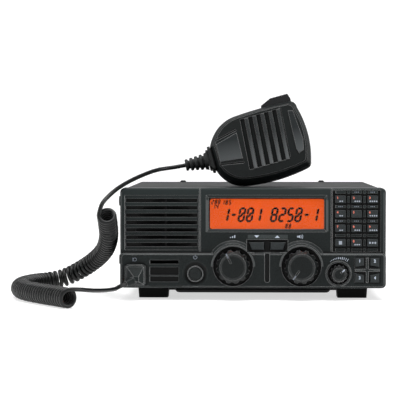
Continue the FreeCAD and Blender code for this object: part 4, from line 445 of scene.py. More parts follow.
    def build_raised(self) -> Tree:
        """The microphone's face: what stands out of it, painted lighter as sheen, how near its lower end that is,
        where a painted highlight grows, and its fine sunk lines, which get painted shade.
        """
        tree, _, out = self.group("raised_faces", (), ("Proud", "LowerHighlight", "SunkShade"))
        levels = []
        for way, start in ((mic_turn() @ Vector((0, -1, 0)), MIC_FACE), (mic_turn() @ Vector((0, 0, -1)), 0.0)):
            middle = mm(*MIC_MIDDLE).dot(way) + start * MM
            levels.append(self.math(tree, "SUBTRACT", self.along(tree, way), middle))
        masks = [
            self.ramp(tree, level, [limit * MM for limit in limits])
            for level, limits in (
                (levels[0], MIC_LEVELS.proud), (levels[1], MIC_LEVELS.buffed), (levels[0], MIC_LEVELS.above),
                (levels[0], MIC_LEVELS.below),
            )
        ]
        tree.links.new(masks[0], out["Proud"])
        tree.links.new(masks[1], out["LowerHighlight"])
        tree.links.new(self.chain(tree, "MULTIPLY", masks[2:]), out["SunkShade"])
        return tree

    def build_floors(self) -> Tree:
        """Which places of the front panel get painted shade on floors, painted highlights on rims, an upper part
        painted paler as if lit more from above, and calm slots.

        Returns:
            The group, with four outputs: painted shade on the floors of slots, recesses and wells, in the power
                button's gap, round the soft keys and under the ledge; Lit, painted highlights on rims; Lift, the upper
                part painted paler as if lit more from above; and Rest, from 0 to 1 how much of the pale edges stays.
        """
        tree, _, out = self.group("shaded_floors", (), ("PaintedShade", "Lit", "Lift", "Rest"))
        x, y, z = self.node(tree, "SeparateXYZ", {0: self.place(tree)})
        # Painted highlights on rims, in boxes and in arcs over the wells.
        rims = self.boxes(tree, x, z, PLACES.lit_boxes)
        for middle in PLACES.hood_middles:
            aside = self.math(tree, "SUBTRACT", x, middle[0] * MM)
            aside = self.math(tree, "DIVIDE", aside, PLACES.hood_ring[1] * MM)
            rims.append(self.chain(tree, "MULTIPLY", [
                self.ring(tree, x, z, middle, PLACES.hood_ring), self.math(tree, "POWER", aside, 2.0),
                self.math(tree, "GREATER_THAN", z, middle[1] * MM),
            ]))
        # Painted shade on floors, in the power button's gap, round the soft keys and under the ledge.
        darks = [
            self.floor_mask(tree, x, y, z), self.ring(tree, x, z, PLACES.power_middle, PLACES.power_ring),
            *self.boxes(tree, x, z, PLACES.dark_boxes),
        ]
        calm = self.chain(tree, "MAXIMUM", self.boxes(tree, x, z, PLACES.calm_boxes))
        rest = self.math(tree, "SUBTRACT", 1.0, self.math(tree, "MULTIPLY", calm, RECIPE.calm))
        # The upper part painted paler, as if lit more from above.
        lift = self.ramp(tree, z, [limit * MM for limit in PLACES.fade_z])
        for label, value in (
            ("PaintedShade", self.chain(tree, "MAXIMUM", darks)), ("Lit", self.chain(tree, "MAXIMUM", rims)), ("Lift", lift),
            ("Rest", rest),
        ):
            tree.links.new(value, out[label])
        return tree

    def floor_mask(self, tree: Tree, x, y, z):
        """The floors that lie behind the panel's face and its band, without the display's bevels and the edges, where
        painted shade goes.
        """
        face, band = FACE_Y + PLACES.floor_start, BAND_Y + PLACES.band_start
        above = self.math(tree, "GREATER_THAN", z, PLACES.band_top * MM)
        start = self.math(tree, "MULTIPLY", above, (face - band) * MM)
        start = self.math(tree, "ADD", start, band * MM)
        from_display = self.math(tree, "ABSOLUTE", self.math(tree, "SUBTRACT", x, PLACES.display_middle * MM))
        off_display = self.math(
            tree, "MAXIMUM", self.math(tree, "GREATER_THAN", from_display, PLACES.display_reach * MM),
            self.math(tree, "LESS_THAN", z, PLACES.display_under * MM),
        )
        return self.chain(tree, "MULTIPLY", [
            self.ramp(tree, self.math(tree, "SUBTRACT", y, start), (0.0, PLACES.floor_ramp * MM)), off_display,
            self.within(tree, x, -PLACES.inside, PLACES.inside), self.within(tree, z, *PLACES.upright),
            self.math(tree, "LESS_THAN", y, PLACES.floor_back_y * MM),
        ])

    def build_skirts(self) -> Tree:
        """Painted shade on the fluted skirts behind the knobs' faces, down in the wells, as a mask from 0 to 1."""
        tree, _, out = self.group("knob_skirts", (), ("PaintedShade",))
        y = self.node(tree, "SeparateXYZ", {0: self.place(tree)})["Y"]
        tree.links.new(self.ramp(tree, y, [limit * MM for limit in PLACES.skirt_y]), out["PaintedShade"])
        return tree

    def placed(self, tree: Tree, group: Tree, **values: float):
        """Put a shared group in a material, with values for its inputs, and give its outputs."""
        node = tree.nodes.new("ShaderNodeGroup")
        node.node_tree = group
        for label, value in values.items():
            node.inputs[label].default_value = value
        return node.outputs

    def material(self, finish: Finish) -> bpy.types.Material:
        """The material of a finish, built the first time that it is asked for."""
        if finish.name in self.made:
            return self.made[finish.name]
        material = bpy.data.materials.new(finish.name)
        material.use_nodes = True
        tree = material.node_tree
        inputs = tree.nodes["Principled BSDF"].inputs
        drift = self.placed(tree, self.drift, Size=RECIPE.drift_size)
        panel = self.placed(tree, self.floors) if finish.floors else None
        face = self.placed(tree, self.raised) if finish.raised else None
        colour = self.toned(tree, finish, drift, panel, face)
        colour, normal = self.handled(tree, finish, colour, panel)
        colour = self.darkened(tree, finish, colour, panel, face)
        normal = self.bumped(tree, finish, normal)
        gloss = (max(RECIPE.least_roughness, finish.roughness * RECIPE.gloss[0]), finish.roughness * RECIPE.gloss[1])
        tree.links.new(self.ramp(tree, drift["Gloss"], RECIPE.noise, gloss), inputs["Roughness"])
        tree.links.new(colour, inputs["Base Color"])
        if normal is not None:
            tree.links.new(normal, inputs["Normal"])
        amounts = {
            "Metallic": finish.metallic, "Specular IOR Level": finish.specular, "Coat Weight": finish.coat,
            "Coat Roughness": RECIPE.coat_roughness,
        }
        if finish.clear > 0:
            amounts |= {"Transmission Weight": finish.clear, "IOR": RECIPE.window_ior}
        if finish.glow > 0:
            tree.links.new(colour, inputs["Emission Color"])
            amounts["Emission Strength"] = finish.glow
        for label, amount in amounts.items():
            inputs[label].default_value = amount
        self.made[finish.name] = material
        return material

    def toned(self, tree: Tree, finish: Finish, drift, panel, face):
        """The finish's own colour with its drift and its flecks, then the painted sheen and highlight of proud faces,
        the upper part painted paler as if lit more from above, and painted shade on the knobs' fluted skirts.

        Args:
            tree: The material's node tree.
            finish: The finish.
            drift: The outputs of the drift group.
            panel: The outputs of the front panel's group, or None.
            face: The outputs of the microphone face's group, or None.

        Returns:
            The socket of the colour.
        """
        base = linear(finish.colour)
        colour = self.mixed(tree, tinted(base, 1 - finish.drift), tinted(base, 1 + finish.drift), drift["Tone"])
        if finish.speckle > 0:
            flecks = self.ramp(tree, drift["Speckle"], RECIPE.noise, (1 - finish.speckle, 1 + finish.speckle))
            colour = self.node(tree, "VectorMath", {0: colour, "Scale": flecks}, operation="SCALE")["Vector"]
        # Proud parts painted lighter as sheen, up to a painted highlight near the lower end.
        if face is not None:
            proud = self.mixed(tree, linear(finish.raised), linear(finish.buffed), face["LowerHighlight"])
            colour = self.mixed(tree, colour, proud, face["Proud"])
        # The upper part painted paler, as if lit more from above.
        if panel is not None:
            colour = self.mixed(tree, colour, tinted(base, RECIPE.faded), panel["Lift"])
        # Painted shade on the knobs' fluted skirts, down in the wells.
        if finish.skirt:
            shaded_skirts = self.placed(tree, self.skirts)["PaintedShade"]
            colour = self.mixed(tree, colour, tinted(base, RECIPE.skirt), shaded_skirts)
        return colour

    def handled(self, tree: Tree, finish: Finish, colour, panel):
        """Pale edges over a colour, partly rubbing and partly a painted highlight, with the sockets of the new colour
        and of the rounded normal.
        """
        if finish.wear <= 0:
            return colour, None
        edges = self.placed(tree, self.edges, Width=finish.edge * MM)
        share = self.math(tree, "MULTIPLY", edges["WornAndHighlit"], finish.wear)
        if panel is not None:
            share = self.math(tree, "MULTIPLY", share, panel["Rest"])
        pale = tinted(linear(finish.colour), RECIPE.pale, finish.polish)
        return self.mixed(tree, colour, pale, share), edges["Normal"]

    def darkened(self, tree: Tree, finish: Finish, colour, panel, face):
        """Painted shade in crevices, on floors and in sunk lines darkens a colour, and then painted highlights on rims
        lighten it.
        """
        shades = []
        if finish.crevice > 0:
            shades.append(self.placed(tree, self.crevices, Reach=finish.crevice * MM)["PaintedShade"])
        if panel is not None:
            shades.append(panel["PaintedShade"])
        # The microphone's sunk lines get painted shade.
        if face is not None:
            shades.append(face["SunkShade"])
        for shade in shades:
            colour = self.mixed(tree, colour, tinted(linear(finish.colour), RECIPE.dark), shade)
        # Painted highlights on rims.
        if panel is not None:
            lit = self.math(tree, "MULTIPLY", panel["Lit"], RECIPE.lit)
            colour = self.mixed(tree, colour, linear(RECIPE.polished), lit)
        return colour

    def bumped(self, tree: Tree, finish: Finish, normal):
        """The socket of a normal with the finish's grain in it, or None if it has neither."""
        if finish.relief <= 0:
            return normal
        fine = 1 / (finish.grain * MM)
        grain = self.placed(tree, self.grain, Fine=fine, Swell=fine * RECIPE.swell)
        inputs = {"Height": grain["Height"], "Distance": finish.relief * MM}
        if normal is not None:
            inputs["Normal"] = normal
        return self.node(tree, "Bump", inputs)["Normal"]

    def dress(self, piece: Piece, finish: Finish) -> None:
        """Give a piece one finish all over."""
        piece.data.materials.clear()
        piece.data.materials.append(self.material(finish))


# Modelling


class Bench:
    """The tools that shape new pieces: primitives, picks in edit mode, bevels, thickness, numerals and strokes."""

    # How far the strokes of type are thickened, as a share of its size.
    bold = 0.03

    def clear(self) -> None:
        """Leave edit mode and let go of all objects."""
        active = bpy.context.object
        if active is not None and active.mode != "OBJECT":
            bpy.ops.object.mode_set(mode="OBJECT")
        bpy.ops.object.select_all(action="DESELECT")

    def take(self, piece: Piece) -> None:
        """Select one object alone and make it active."""
        self.clear()
        piece.select_set(True)
        bpy.context.view_layer.objects.active = piece

    def block(self, name: str, low: Vector, high: Vector) -> Piece:
        """A cuboid between two corners, to be shaped further.

        Args:
            name: The piece's name.
            low: Its lowest corner in metres.
            high: Its highest corner in metres.

        Returns:
            The new object, placed in its mesh.
        """
        self.clear()
        bpy.ops.mesh.primitive_cube_add(size=1, location=(low + high) / 2, scale=high - low)
        piece = bpy.context.object
        piece.name = name
        bpy.ops.object.transform_apply(location=True, rotation=True, scale=True)
        return piece

    def slab(self, name: str, middle: Vector, size: Vector) -> Piece:
        """A cuboid of a size round its middle, both in metres."""
        return self.block(name, middle - size / 2, middle + size / 2)

    @contextmanager
    def picked(self, piece: Piece, kind: Pick, test: Callable) -> Iterator[None]:
        """Edit mode with the faces, edges or corners that pass a test selected, and object mode again after it.

        Args:
            piece: The piece to edit.
            kind: What to select.
            test: Called with a face, with an edge's two corners, or with a corner.
        """
        self.take(piece)
        bpy.ops.object.mode_set(mode="EDIT")
        bpy.ops.mesh.select_mode(type=kind.value)
        bpy.ops.mesh.select_all(action="DESELECT")
        bpy.ops.object.mode_set(mode="OBJECT")
        mesh = piece.data
        if kind is Pick.FACES:
            for face in mesh.polygons:
                face.select = test(face)
        elif kind is Pick.EDGES:
            for edge in mesh.edges:
                edge.select = test(mesh.vertices[edge.vertices[0]].co, mesh.vertices[edge.vertices[1]].co)
        else:
            for corner in mesh.vertices:
                corner.select = test(corner.co)
        bpy.ops.object.mode_set(mode="EDIT")
        yield
        bpy.ops.object.mode_set(mode="OBJECT")

    def bevel(self, piece: Piece, width: float, segments: int = 1, test: Optional[Callable] = None) -> None:
        """Bevel a piece's edges in edit mode.

        Args:
            piece: The piece.
            width: The bevel's width in metres.
            segments: How many faces cross it.
            test: Which edges, called with their two corners; without it, those that run in from the front.
        """
        with self.picked(piece, Pick.EDGES, test or (lambda a, b: abs(a.y - b.y) > LEVEL)):
            bpy.ops.mesh.bevel(offset=width, segments=segments)

    def thicken(self, piece: Piece, thickness: float) -> None:
        """Give a sheet a thickness in metres, half to each side."""
        solid = piece.modifiers.new("thickness", "SOLIDIFY")
        solid.thickness = thickness
        solid.offset = 0.0
        self.take(piece)
        bpy.ops.object.modifier_apply(modifier=solid.name)

    def smooth(self, piece: Piece, angle: float) -> None:
        """Shade a piece smoothly, except over edges sharper than an angle in degrees."""
        self.take(piece)
        bpy.ops.object.shade_smooth_by_angle(angle=math.radians(angle))

    def join(self, pieces: Sequence[Piece], name: str) -> Piece:
        """Join pieces into one.

        Args:
            pieces: The pieces, which end as one object.
            name: The name of what they become.

        Returns:
            The joined piece.
        """
        self.take(pieces[0])
        for piece in pieces[1:]:
            piece.select_set(True)
        if len(pieces) > 1:
            bpy.ops.object.join()
        pieces[0].name = name
        return pieces[0]

    def drop(self, piece: Piece) -> None:
        """Remove a piece that was only a guide."""
        bpy.data.objects.remove(piece, do_unlink=True)

    def numeral(self, name: str, words: str, size: float, at: Vector, thick: float) -> Piece:
        """A numeral or sign standing on a front surface, facing the front.

        Args:
            name: The piece's name.
            words: What it says.
            size: The size of its type in metres.
            at: Its middle in metres.
            thick: How thick it is in metres.

        Returns:
            The new mesh object.
        """
        self.clear()
        bpy.ops.object.text_add()
        piece = bpy.context.object
        piece.name = name
        piece.data.body = words
        piece.data.size = size
        piece.data.extrude = thick / 2
        piece.data.offset = size * self.bold
        piece.data.resolution_u = 3
        piece.data.align_x = "CENTER"
        piece.data.align_y = "CENTER"
        bpy.ops.object.convert(target="MESH")
        piece.data.transform(Matrix.Translation(at) @ Matrix.Rotation(math.pi / 2, 4, "X"))
        return piece

    def stroke(self, name: str, points: Sequence[Vector], width: float, thick: float) -> Piece:
        """A drawn line on a front surface: a round line pressed flat along Y.

        Args:
            name: The piece's name.
            points: The points that it runs through, in metres, all at one depth.
            width: Its width in metres.
            thick: How thick it is in metres.

        Returns:
            The new mesh object.
        """
        curve = bpy.data.curves.new(name, "CURVE")
        curve.dimensions = "3D"
        curve.bevel_depth = width / 2
        curve.bevel_resolution = 1
        curve.use_fill_caps = True
        line = curve.splines.new("POLY")
        line.points.add(len(points) - 1)
        depth = points[0].y
        for spot, point in zip(line.points, points):
            spot.co = (point.x, 0.0, point.z, 1.0)
        piece = bpy.data.objects.new(name, curve)
        bpy.context.scene.collection.objects.link(piece)
        self.take(piece)
        bpy.ops.object.convert(target="MESH")
        piece = bpy.context.object
        piece.data.transform(Matrix.Translation((0, depth, 0)) @ Matrix.Diagonal((1, thick / width, 1, 1)))
        return piece


BENCH = Bench()
PAINT = Paintbox()


def on_circle(x: float, z: float, y: float, radius: float, turn: float) -> Vector:
    """The point of an upright circle at an angle in degrees clockwise from its top.

    Args:
        x: The circle's middle along X, in millimetres.
        z: The circle's middle along Z, in millimetres.
        y: Its plane's place along Y, in millimetres.
        radius: Its radius in millimetres.
        turn: The angle.

    Returns:
        The point in metres.
    """
    angle = math.radians(turn)
    return mm(x + radius * math.sin(angle), y, z + radius * math.cos(angle))


def arc(x: float, z: float, y: float, radius: float, start: float, end: float, count: int) -> list[Vector]:
    """Points on an arc in an upright plane.

    Args:
        x: The arc's middle along X, in millimetres.
        z: The arc's middle along Z, in millimetres.
        y: The plane's place along Y, in millimetres.
        radius: The arc's radius in millimetres.
        start: Where it starts, in degrees clockwise from the top.
        end: Where it ends.
        count: How many points it has.

    Returns:
        The points in metres.
    """
    return [on_circle(x, z, y, radius, start + (end - start) * i / (count - 1)) for i in range(count)]


# Studio


@dataclass
class Studio:
    """Camera, floor and lights."""

    eye: tuple[float, float, float] = (-5.3, -1776.0, 146.5)
    lens: float = 163.9
    vanishing: tuple[float, float] = (247.0, 138.6)
    picture: int = 400
    sensor: float = 36.0
    clip: float = 30.0
    floor_colour: tuple[float, float, float] = (200, 200, 200)
    floor_roughness: float = 0.85
    floor_glow: float = 0.6
    floor_middle: tuple[float, float, float] = (0.0, 0.4, 0.0)
    floor_size: tuple[float, float, float] = (9.0, 6.4, 1.0)
    floor_rows: int = 40
    bend_y: float = 1.3
    bend_radius: float = 0.9
    air: Colour = (0.92, 0.95, 1.0, 1)
    air_strength: float = 0.1
    lamp_aim: tuple[float, float, float] = (0.0, -0.02, 0.07)
    lamps: tuple = (
        ("top_softbox", (0.0, -0.30, 1.7), 43.0, 1.8, 1.2),
        ("front_softbox", (-0.5, -2.4, 1.1), 7.0, 1.2, 0.8),
        ("right_strip", (1.5, -0.55, 0.5), 14.0, 0.3, 1.2),
        ("left_strip", (-1.5, -0.50, 0.6), 10.0, 0.3, 1.2),
    )

    def build(self) -> None:
        """Set the camera, the floor and the lights."""
        self.camera()
        self.floor()
        self.world()
        self.lights()
        LOG.info("studio: camera, floor and lights")

    def camera(self) -> None:
        """Place the camera so that lines along Y run to the photograph's vanishing point."""
        data = bpy.data.cameras.new("camera")
        data.lens = self.lens
        data.sensor_width = self.sensor
        data.clip_end = self.clip
        camera = bpy.data.objects.new("camera", data)
        bpy.context.scene.collection.objects.link(camera)
        camera.location = mm(*self.eye)
        focal = self.picture * self.lens / self.sensor
        half = self.picture / 2
        aim = Vector(((half - self.vanishing[0]) / focal, 1.0, (self.vanishing[1] - half) / focal))
        camera.rotation_mode = "QUATERNION"
        camera.rotation_quaternion = aim.to_track_quat("-Z", "Y")
        bpy.context.scene.camera = camera
        bpy.context.scene.view_settings.view_transform = "Standard"

    def floor(self) -> None:
        """A pale floor that sweeps up behind the object."""
        BENCH.clear()
        bpy.ops.mesh.primitive_grid_add(
            x_subdivisions=2, y_subdivisions=self.floor_rows, size=1, location=self.floor_middle
        )
        floor = bpy.context.object
        floor.name = "floor"
        floor.scale = self.floor_size
        bpy.ops.object.transform_apply(location=True, rotation=True, scale=True)
        for corner in floor.data.vertices:
            past = corner.co.y - self.bend_y
            if past > 0:
                turn = min(past / self.bend_radius, math.pi / 2)
                corner.co.y = self.bend_y + self.bend_radius * math.sin(turn)
                corner.co.z = self.bend_radius * (1 - math.cos(turn)) + past - turn * self.bend_radius
        BENCH.smooth(floor, 80)
        material = bpy.data.materials.new("studio_floor")
        material.use_nodes = True
        inputs = material.node_tree.nodes["Principled BSDF"].inputs
        for label, value in (
            ("Base Color", linear(self.floor_colour)), ("Roughness", self.floor_roughness),
            ("Emission Color", (1, 1, 1, 1)), ("Emission Strength", self.floor_glow),
        ):
            inputs[label].default_value = value
        floor.data.materials.append(material)

    def world(self) -> None:
        """Even light from all round."""
        world = bpy.data.worlds.new("studio_air")
        world.use_nodes = True
        inputs = world.node_tree.nodes["Background"].inputs
        inputs["Color"].default_value = self.air
        inputs["Strength"].default_value = self.air_strength
        bpy.context.scene.world = world

    def lights(self) -> None:
        """A broad softbox above, a weaker one in front and two strips at the sides."""
        for name, place, power, wide, tall in self.lamps:
            data = bpy.data.lights.new(name, "AREA")
            data.shape = "RECTANGLE"
            data.size, data.size_y = wide, tall
            data.energy = power
            light = bpy.data.objects.new(name, data)
            light.location = place
            light.rotation_mode = "QUATERNION"
            light.rotation_quaternion = (Vector(self.lamp_aim) - Vector(place)).to_track_quat("-Z", "Y")
            bpy.context.scene.collection.objects.link(light)


# Cord


@dataclass
class MicCord:
    """The microphone's cord: an upper lead, the curled stretch and a lower lead to the plug. Millimetres."""

    wire: float = 3.8
    tip: tuple[float, float, float] = (-63.105, -65.594, 121.459)
    tip_way: tuple[float, float, float] = (-0.98163, -0.03641, -0.18730)
    plug: tuple[float, float, float] = (-114.604, -140.802, 15.728)
    plug_way: tuple[float, float, float] = (-0.80, -0.50, -0.33)
    upper_lead: tuple = (
        (-87.3, -73.9, 118.0), (-98.0, -90.0, 114.5), (-112.0, -112.5, 108.2), (-122.6, -134.5, 101.5),
        (-129.8, -145.5, 94.8), (-134.6, -151.5, 89.2),
    )
    lower_lead: tuple = (
        (-121.6, -153.0, 12.4), (-128.6, -170.0, 12.2), (-139.6, -198.0, 14.2), (-147.2, -209.5, 16.2),
    )
    route: tuple = (
        (-130.5, -156, 78.4), (-130.3, -128, 63.0), (-133.2, -102, 51.5), (-138.4, -76, 42.0), (-147.4, -53, 32.6),
        (-161.8, -37, 22.2), (-179.5, -31, 12.9), (-195.6, -37, 9.6), (-207.0, -53, 9.4), (-212.8, -76, 9.4),
        (-214.4, -100, 9.4), (-211.8, -122, 9.4), (-204.0, -144, 9.4), (-192.2, -165, 9.4), (-178.6, -186, 9.4),
        (-167.2, -203, 9.4), (-158.3, -217, 9.4),
    )
    upper_radius: float = 7.0
    lower_radius: float = 7.2
    close_pitch: float = 4.6
    open_pitch: float = 5.9
    opening: tuple[float, float, float, float] = (0.02, 0.10, 0.34, 0.44)
    curl_gap: float = 0.2
    start_angle: float = 152.0
    end_angle: float = 90.0
    per_turn: int = 16
    route_steps: int = 180
    cord_steps: int = 2
    widening: tuple[float, float] = (0.3, 0.6)
    lead_in: float = 12.0
    lead_out: float = 10.0
    bend_reach: float = 10.0
    length: float = 3.55
    bend_start: tuple[float, float, float] = (-124.0, -140.0, 92.0)
    bend_end: tuple[float, float, float] = (-64.0, -140.0, 122.0)

    def build(self) -> Piece:
        """Returns:
            The cord.
        """
        curls = self.curls()
        begin, begin_way = curls[0], (curls[1] - curls[0]).normalized()
        end, end_way = curls[-1], (curls[-1] - curls[-2]).normalized()
        tip, tip_way = mm(*self.tip), Vector(self.tip_way)
        plug, plug_way = mm(*self.plug), Vector(self.plug_way).normalized()
        upper = [tip, tip + tip_way * self.lead_in * MM, *(mm(*p) for p in self.upper_lead)]
        upper.append(begin - begin_way * self.wire * MM)
        lower = [end + end_way * self.wire / 2 * MM]
        lower += [*(mm(*p) for p in reversed(self.lower_lead)), plug + plug_way * self.lead_out * MM, plug]
        curve = self.spline("cord_line", [*upper, *curls, *lower], self.cord_steps)
        path = self.points_of(curve)
        curve.data.bevel_depth = self.wire * MM / 2
        curve.data.bevel_resolution = 4
        curve.data.use_fill_caps = True
        BENCH.take(curve)
        bpy.ops.object.convert(target="MESH")
        cord = bpy.context.object
        cord.name = "microphone_cord"
        BENCH.smooth(cord, 60)
        PAINT.dress(cord, JACKET)
        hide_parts("cord_upper_lead", "cord_coil", "cord_lower_lead")
        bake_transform(cord)
        LOG.info("microphone_cord: %d points along it", len(path))
        return cord

    def spline(self, name: str, points: Sequence[Vector], fineness: int) -> Piece:
        """One open quadratic NURBS line with the points as its control points.

        Args:
            name: The object's name.
            points: The control points in metres.
            fineness: How many steps it takes between two of them.

        Returns:
            The curve object.
        """
        curve = bpy.data.curves.new(name, "CURVE")
        curve.dimensions = "3D"
        curve.resolution_u = fineness
        line = curve.splines.new("NURBS")
        line.points.add(len(points) - 1)
        for spot, point in zip(line.points, points):
            spot.co = (*point, 1.0)
        line.order_u = 3
        line.use_endpoint_u = True
        line.resolution_u = fineness
        piece = bpy.data.objects.new(name, curve)
        bpy.context.scene.collection.objects.link(piece)
        return piece

    def points_of(self, curve: Piece) -> list[Vector]:
        """The points of a curve's own line."""
        mesh = bpy.data.meshes.new_from_object(curve)
        points = [corner.co.copy() for corner in mesh.vertices]
        bpy.data.meshes.remove(mesh)
        return points

    def curls(self) -> list[Vector]:
        """Control points of the curled stretch, wound round the line of its route.

        Returns:
            The points in metres, per_turn of them to a turn.
        """
        guide = self.spline("curl_route", [Vector(p) for p in self.route], self.route_steps)
        line = self.points_of(guide)
        BENCH.drop(guide)
        along, tangents, normals = self.frames(line)
        total = along[-1]
        turns = [0.0]
        for index in range(1, len(line)):
            step = along[index] - along[index - 1]
            turns.append(turns[-1] - 2 * math.pi * step / self.pitch(along, tangents, index))
        begin, finish = math.radians(self.start_angle), math.radians(self.end_angle)
        start = self.angle_of(Vector((math.cos(begin), 0, math.sin(begin))), tangents[0], normals[0])
        level = Vector((-tangents[-1].y, tangents[-1].x, 0))
        end = self.angle_of(level * math.cos(finish) + Vector((0, 0, math.sin(finish))), tangents[-1], normals[-1])
        whole = 2 * math.pi * round((turns[-1] + start - end) / (2 * math.pi)) + end - start
        count = round(abs(whole) / (2 * math.pi) * self.per_turn)
        # The spline runs inside its control points, so these lie a little further out.
        reach = 1 / (0.75 + 0.25 * math.cos(2 * math.pi / self.per_turn))
        points, mark = [], 0
        for index, point in enumerate(line):
            if abs(turns[index]) < abs(turns[-1]) * mark / count - 1e-9:
                continue
            turn = start + turns[index] * whole / turns[-1]
            radius = self.radius(along[index] / total) * reach
            side = tangents[index].cross(normals[index])
            points.append((point + normals[index] * radius * math.cos(turn) + side * radius * math.sin(turn)) * MM)
            mark += 1
        return points

    def frames(self, line: Sequence[Vector]) -> tuple[list[float], list[Vector], list[Vector]]:
        """Carry a frame along a line without twisting it.

        Args:
            line: The line's points.

        Returns:
            The length along the line, its tangent and its normal at each point.
        """
        along, tangents, normals = [0.0], [], []
        normal = Vector((1, 0, 0))
        for index, point in enumerate(line):
            before, after = line[max(0, index - 1)], line[min(len(line) - 1, index + 1)]
            tangent = (after - before).normalized()
            normal = (normal - tangent * normal.dot(tangent)).normalized()
            tangents.append(tangent)
            normals.append(normal)
            if index:
                along.append(along[-1] + (point - before).length)
        return along, tangents, normals

    def pitch(self, along: Sequence[float], tangents: Sequence[Vector], index: int) -> float:
        """Distance between curls: close at both ends, open between, and wider inside a bend.

        Args:
            along: Length along the line at each point.
            tangents: Tangent at each point.
            index: Which point.

        Returns:
            The pitch in millimetres.
        """
        share = along[index] / along[-1]
        opens, opened, closes, closed = self.opening
        rise = min(1.0, max(0.0, (share - opens) / (opened - opens)))
        rise *= min(1.0, max(0.0, (closed - share) / (closed - closes)))
        low = bisect_left(along, along[index] - self.bend_reach)
        high = bisect_right(along, along[index] + self.bend_reach) - 1
        bend = tangents[low].angle(tangents[high]) / max(1e-6, along[high] - along[low])
        least = (self.wire + self.curl_gap) / (1 - self.radius(share) * bend)
        return max(self.close_pitch + (self.open_pitch - self.close_pitch) * rise, least)

    def radius(self, share: float) -> float:
        """Radius of the curls at a share of their length."""
        start, end = self.widening
        return self.upper_radius + (self.lower_radius - self.upper_radius) * min(
            1.0, max(0.0, (share - start) / (end - start))
        )

    def angle_of(self, direction: Vector, tangent: Vector, normal: Vector) -> float:
        """Angle of a direction round a line, from the line's normal."""
        return math.atan2(direction.dot(tangent.cross(normal)), direction.dot(normal))


# Finishes of the CAD nodes


@dataclass
class FramePaint:
    """Which finish each CAD node gets."""

    table: dict[Finish, tuple[str, ...]] = field(default_factory=lambda: {
        PANEL: ("front_panel", "mic_plug"),
        COVER: ("top_cover", "bottom_cover"),
        CAST: ("chassis", "heat_sink"),
        KNOBS: ("channel_knob", "volume_knob", "tone_knob"),
        POWER: ("power_button",),
        KEYS: ("key_down", "key_up"),
        MIC_FRONT: ("mic_front_shell",),
        MIC_BACK: ("mic_back_shell", "mic_hanger"),
        BUTTON: ("push_to_talk",),
        RELIEF: ("mic_strain_relief",),
        RUBBER: ("rubber_feet",),
        FEET: ("front_feet",),
        SILICONE: ("key_mats",),
        SOCKET: ("power_socket", "accessory_sockets", "mic_jack"),
        NICKEL: ("antenna_socket", "mic_capsule"),
        BRASS: ("ground_terminal",),
        SCREWS: ("case_screws", "mic_screws"),
        STAND: ("tilt_stand",),
        CAN: ("channel_encoder", "potentiometers"),
        BOARD: ("front_board", "main_board", "mic_board"),
        SPEAKER: ("loudspeaker",),
        FAN: ("fan_frame", "fan_rotor"),
        WINDOW: ("display_window",),
        AMBER: ("display_glass",),
        GUIDE: ("display_light",),
    })

    def build(self) -> None:
        """Dress every CAD node that stays in view."""
        done = set()
        for finish, names in self.table.items():
            for name in names:
                PAINT.dress(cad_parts[name], finish)
                done.add(name)
        for name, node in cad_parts.items():
            if name not in done and not name.startswith("cord_"):
                PAINT.dress(node, KEYS)
                done.add(name)
        LOG.info("frame: %d nodes dressed", len(done))


# Display


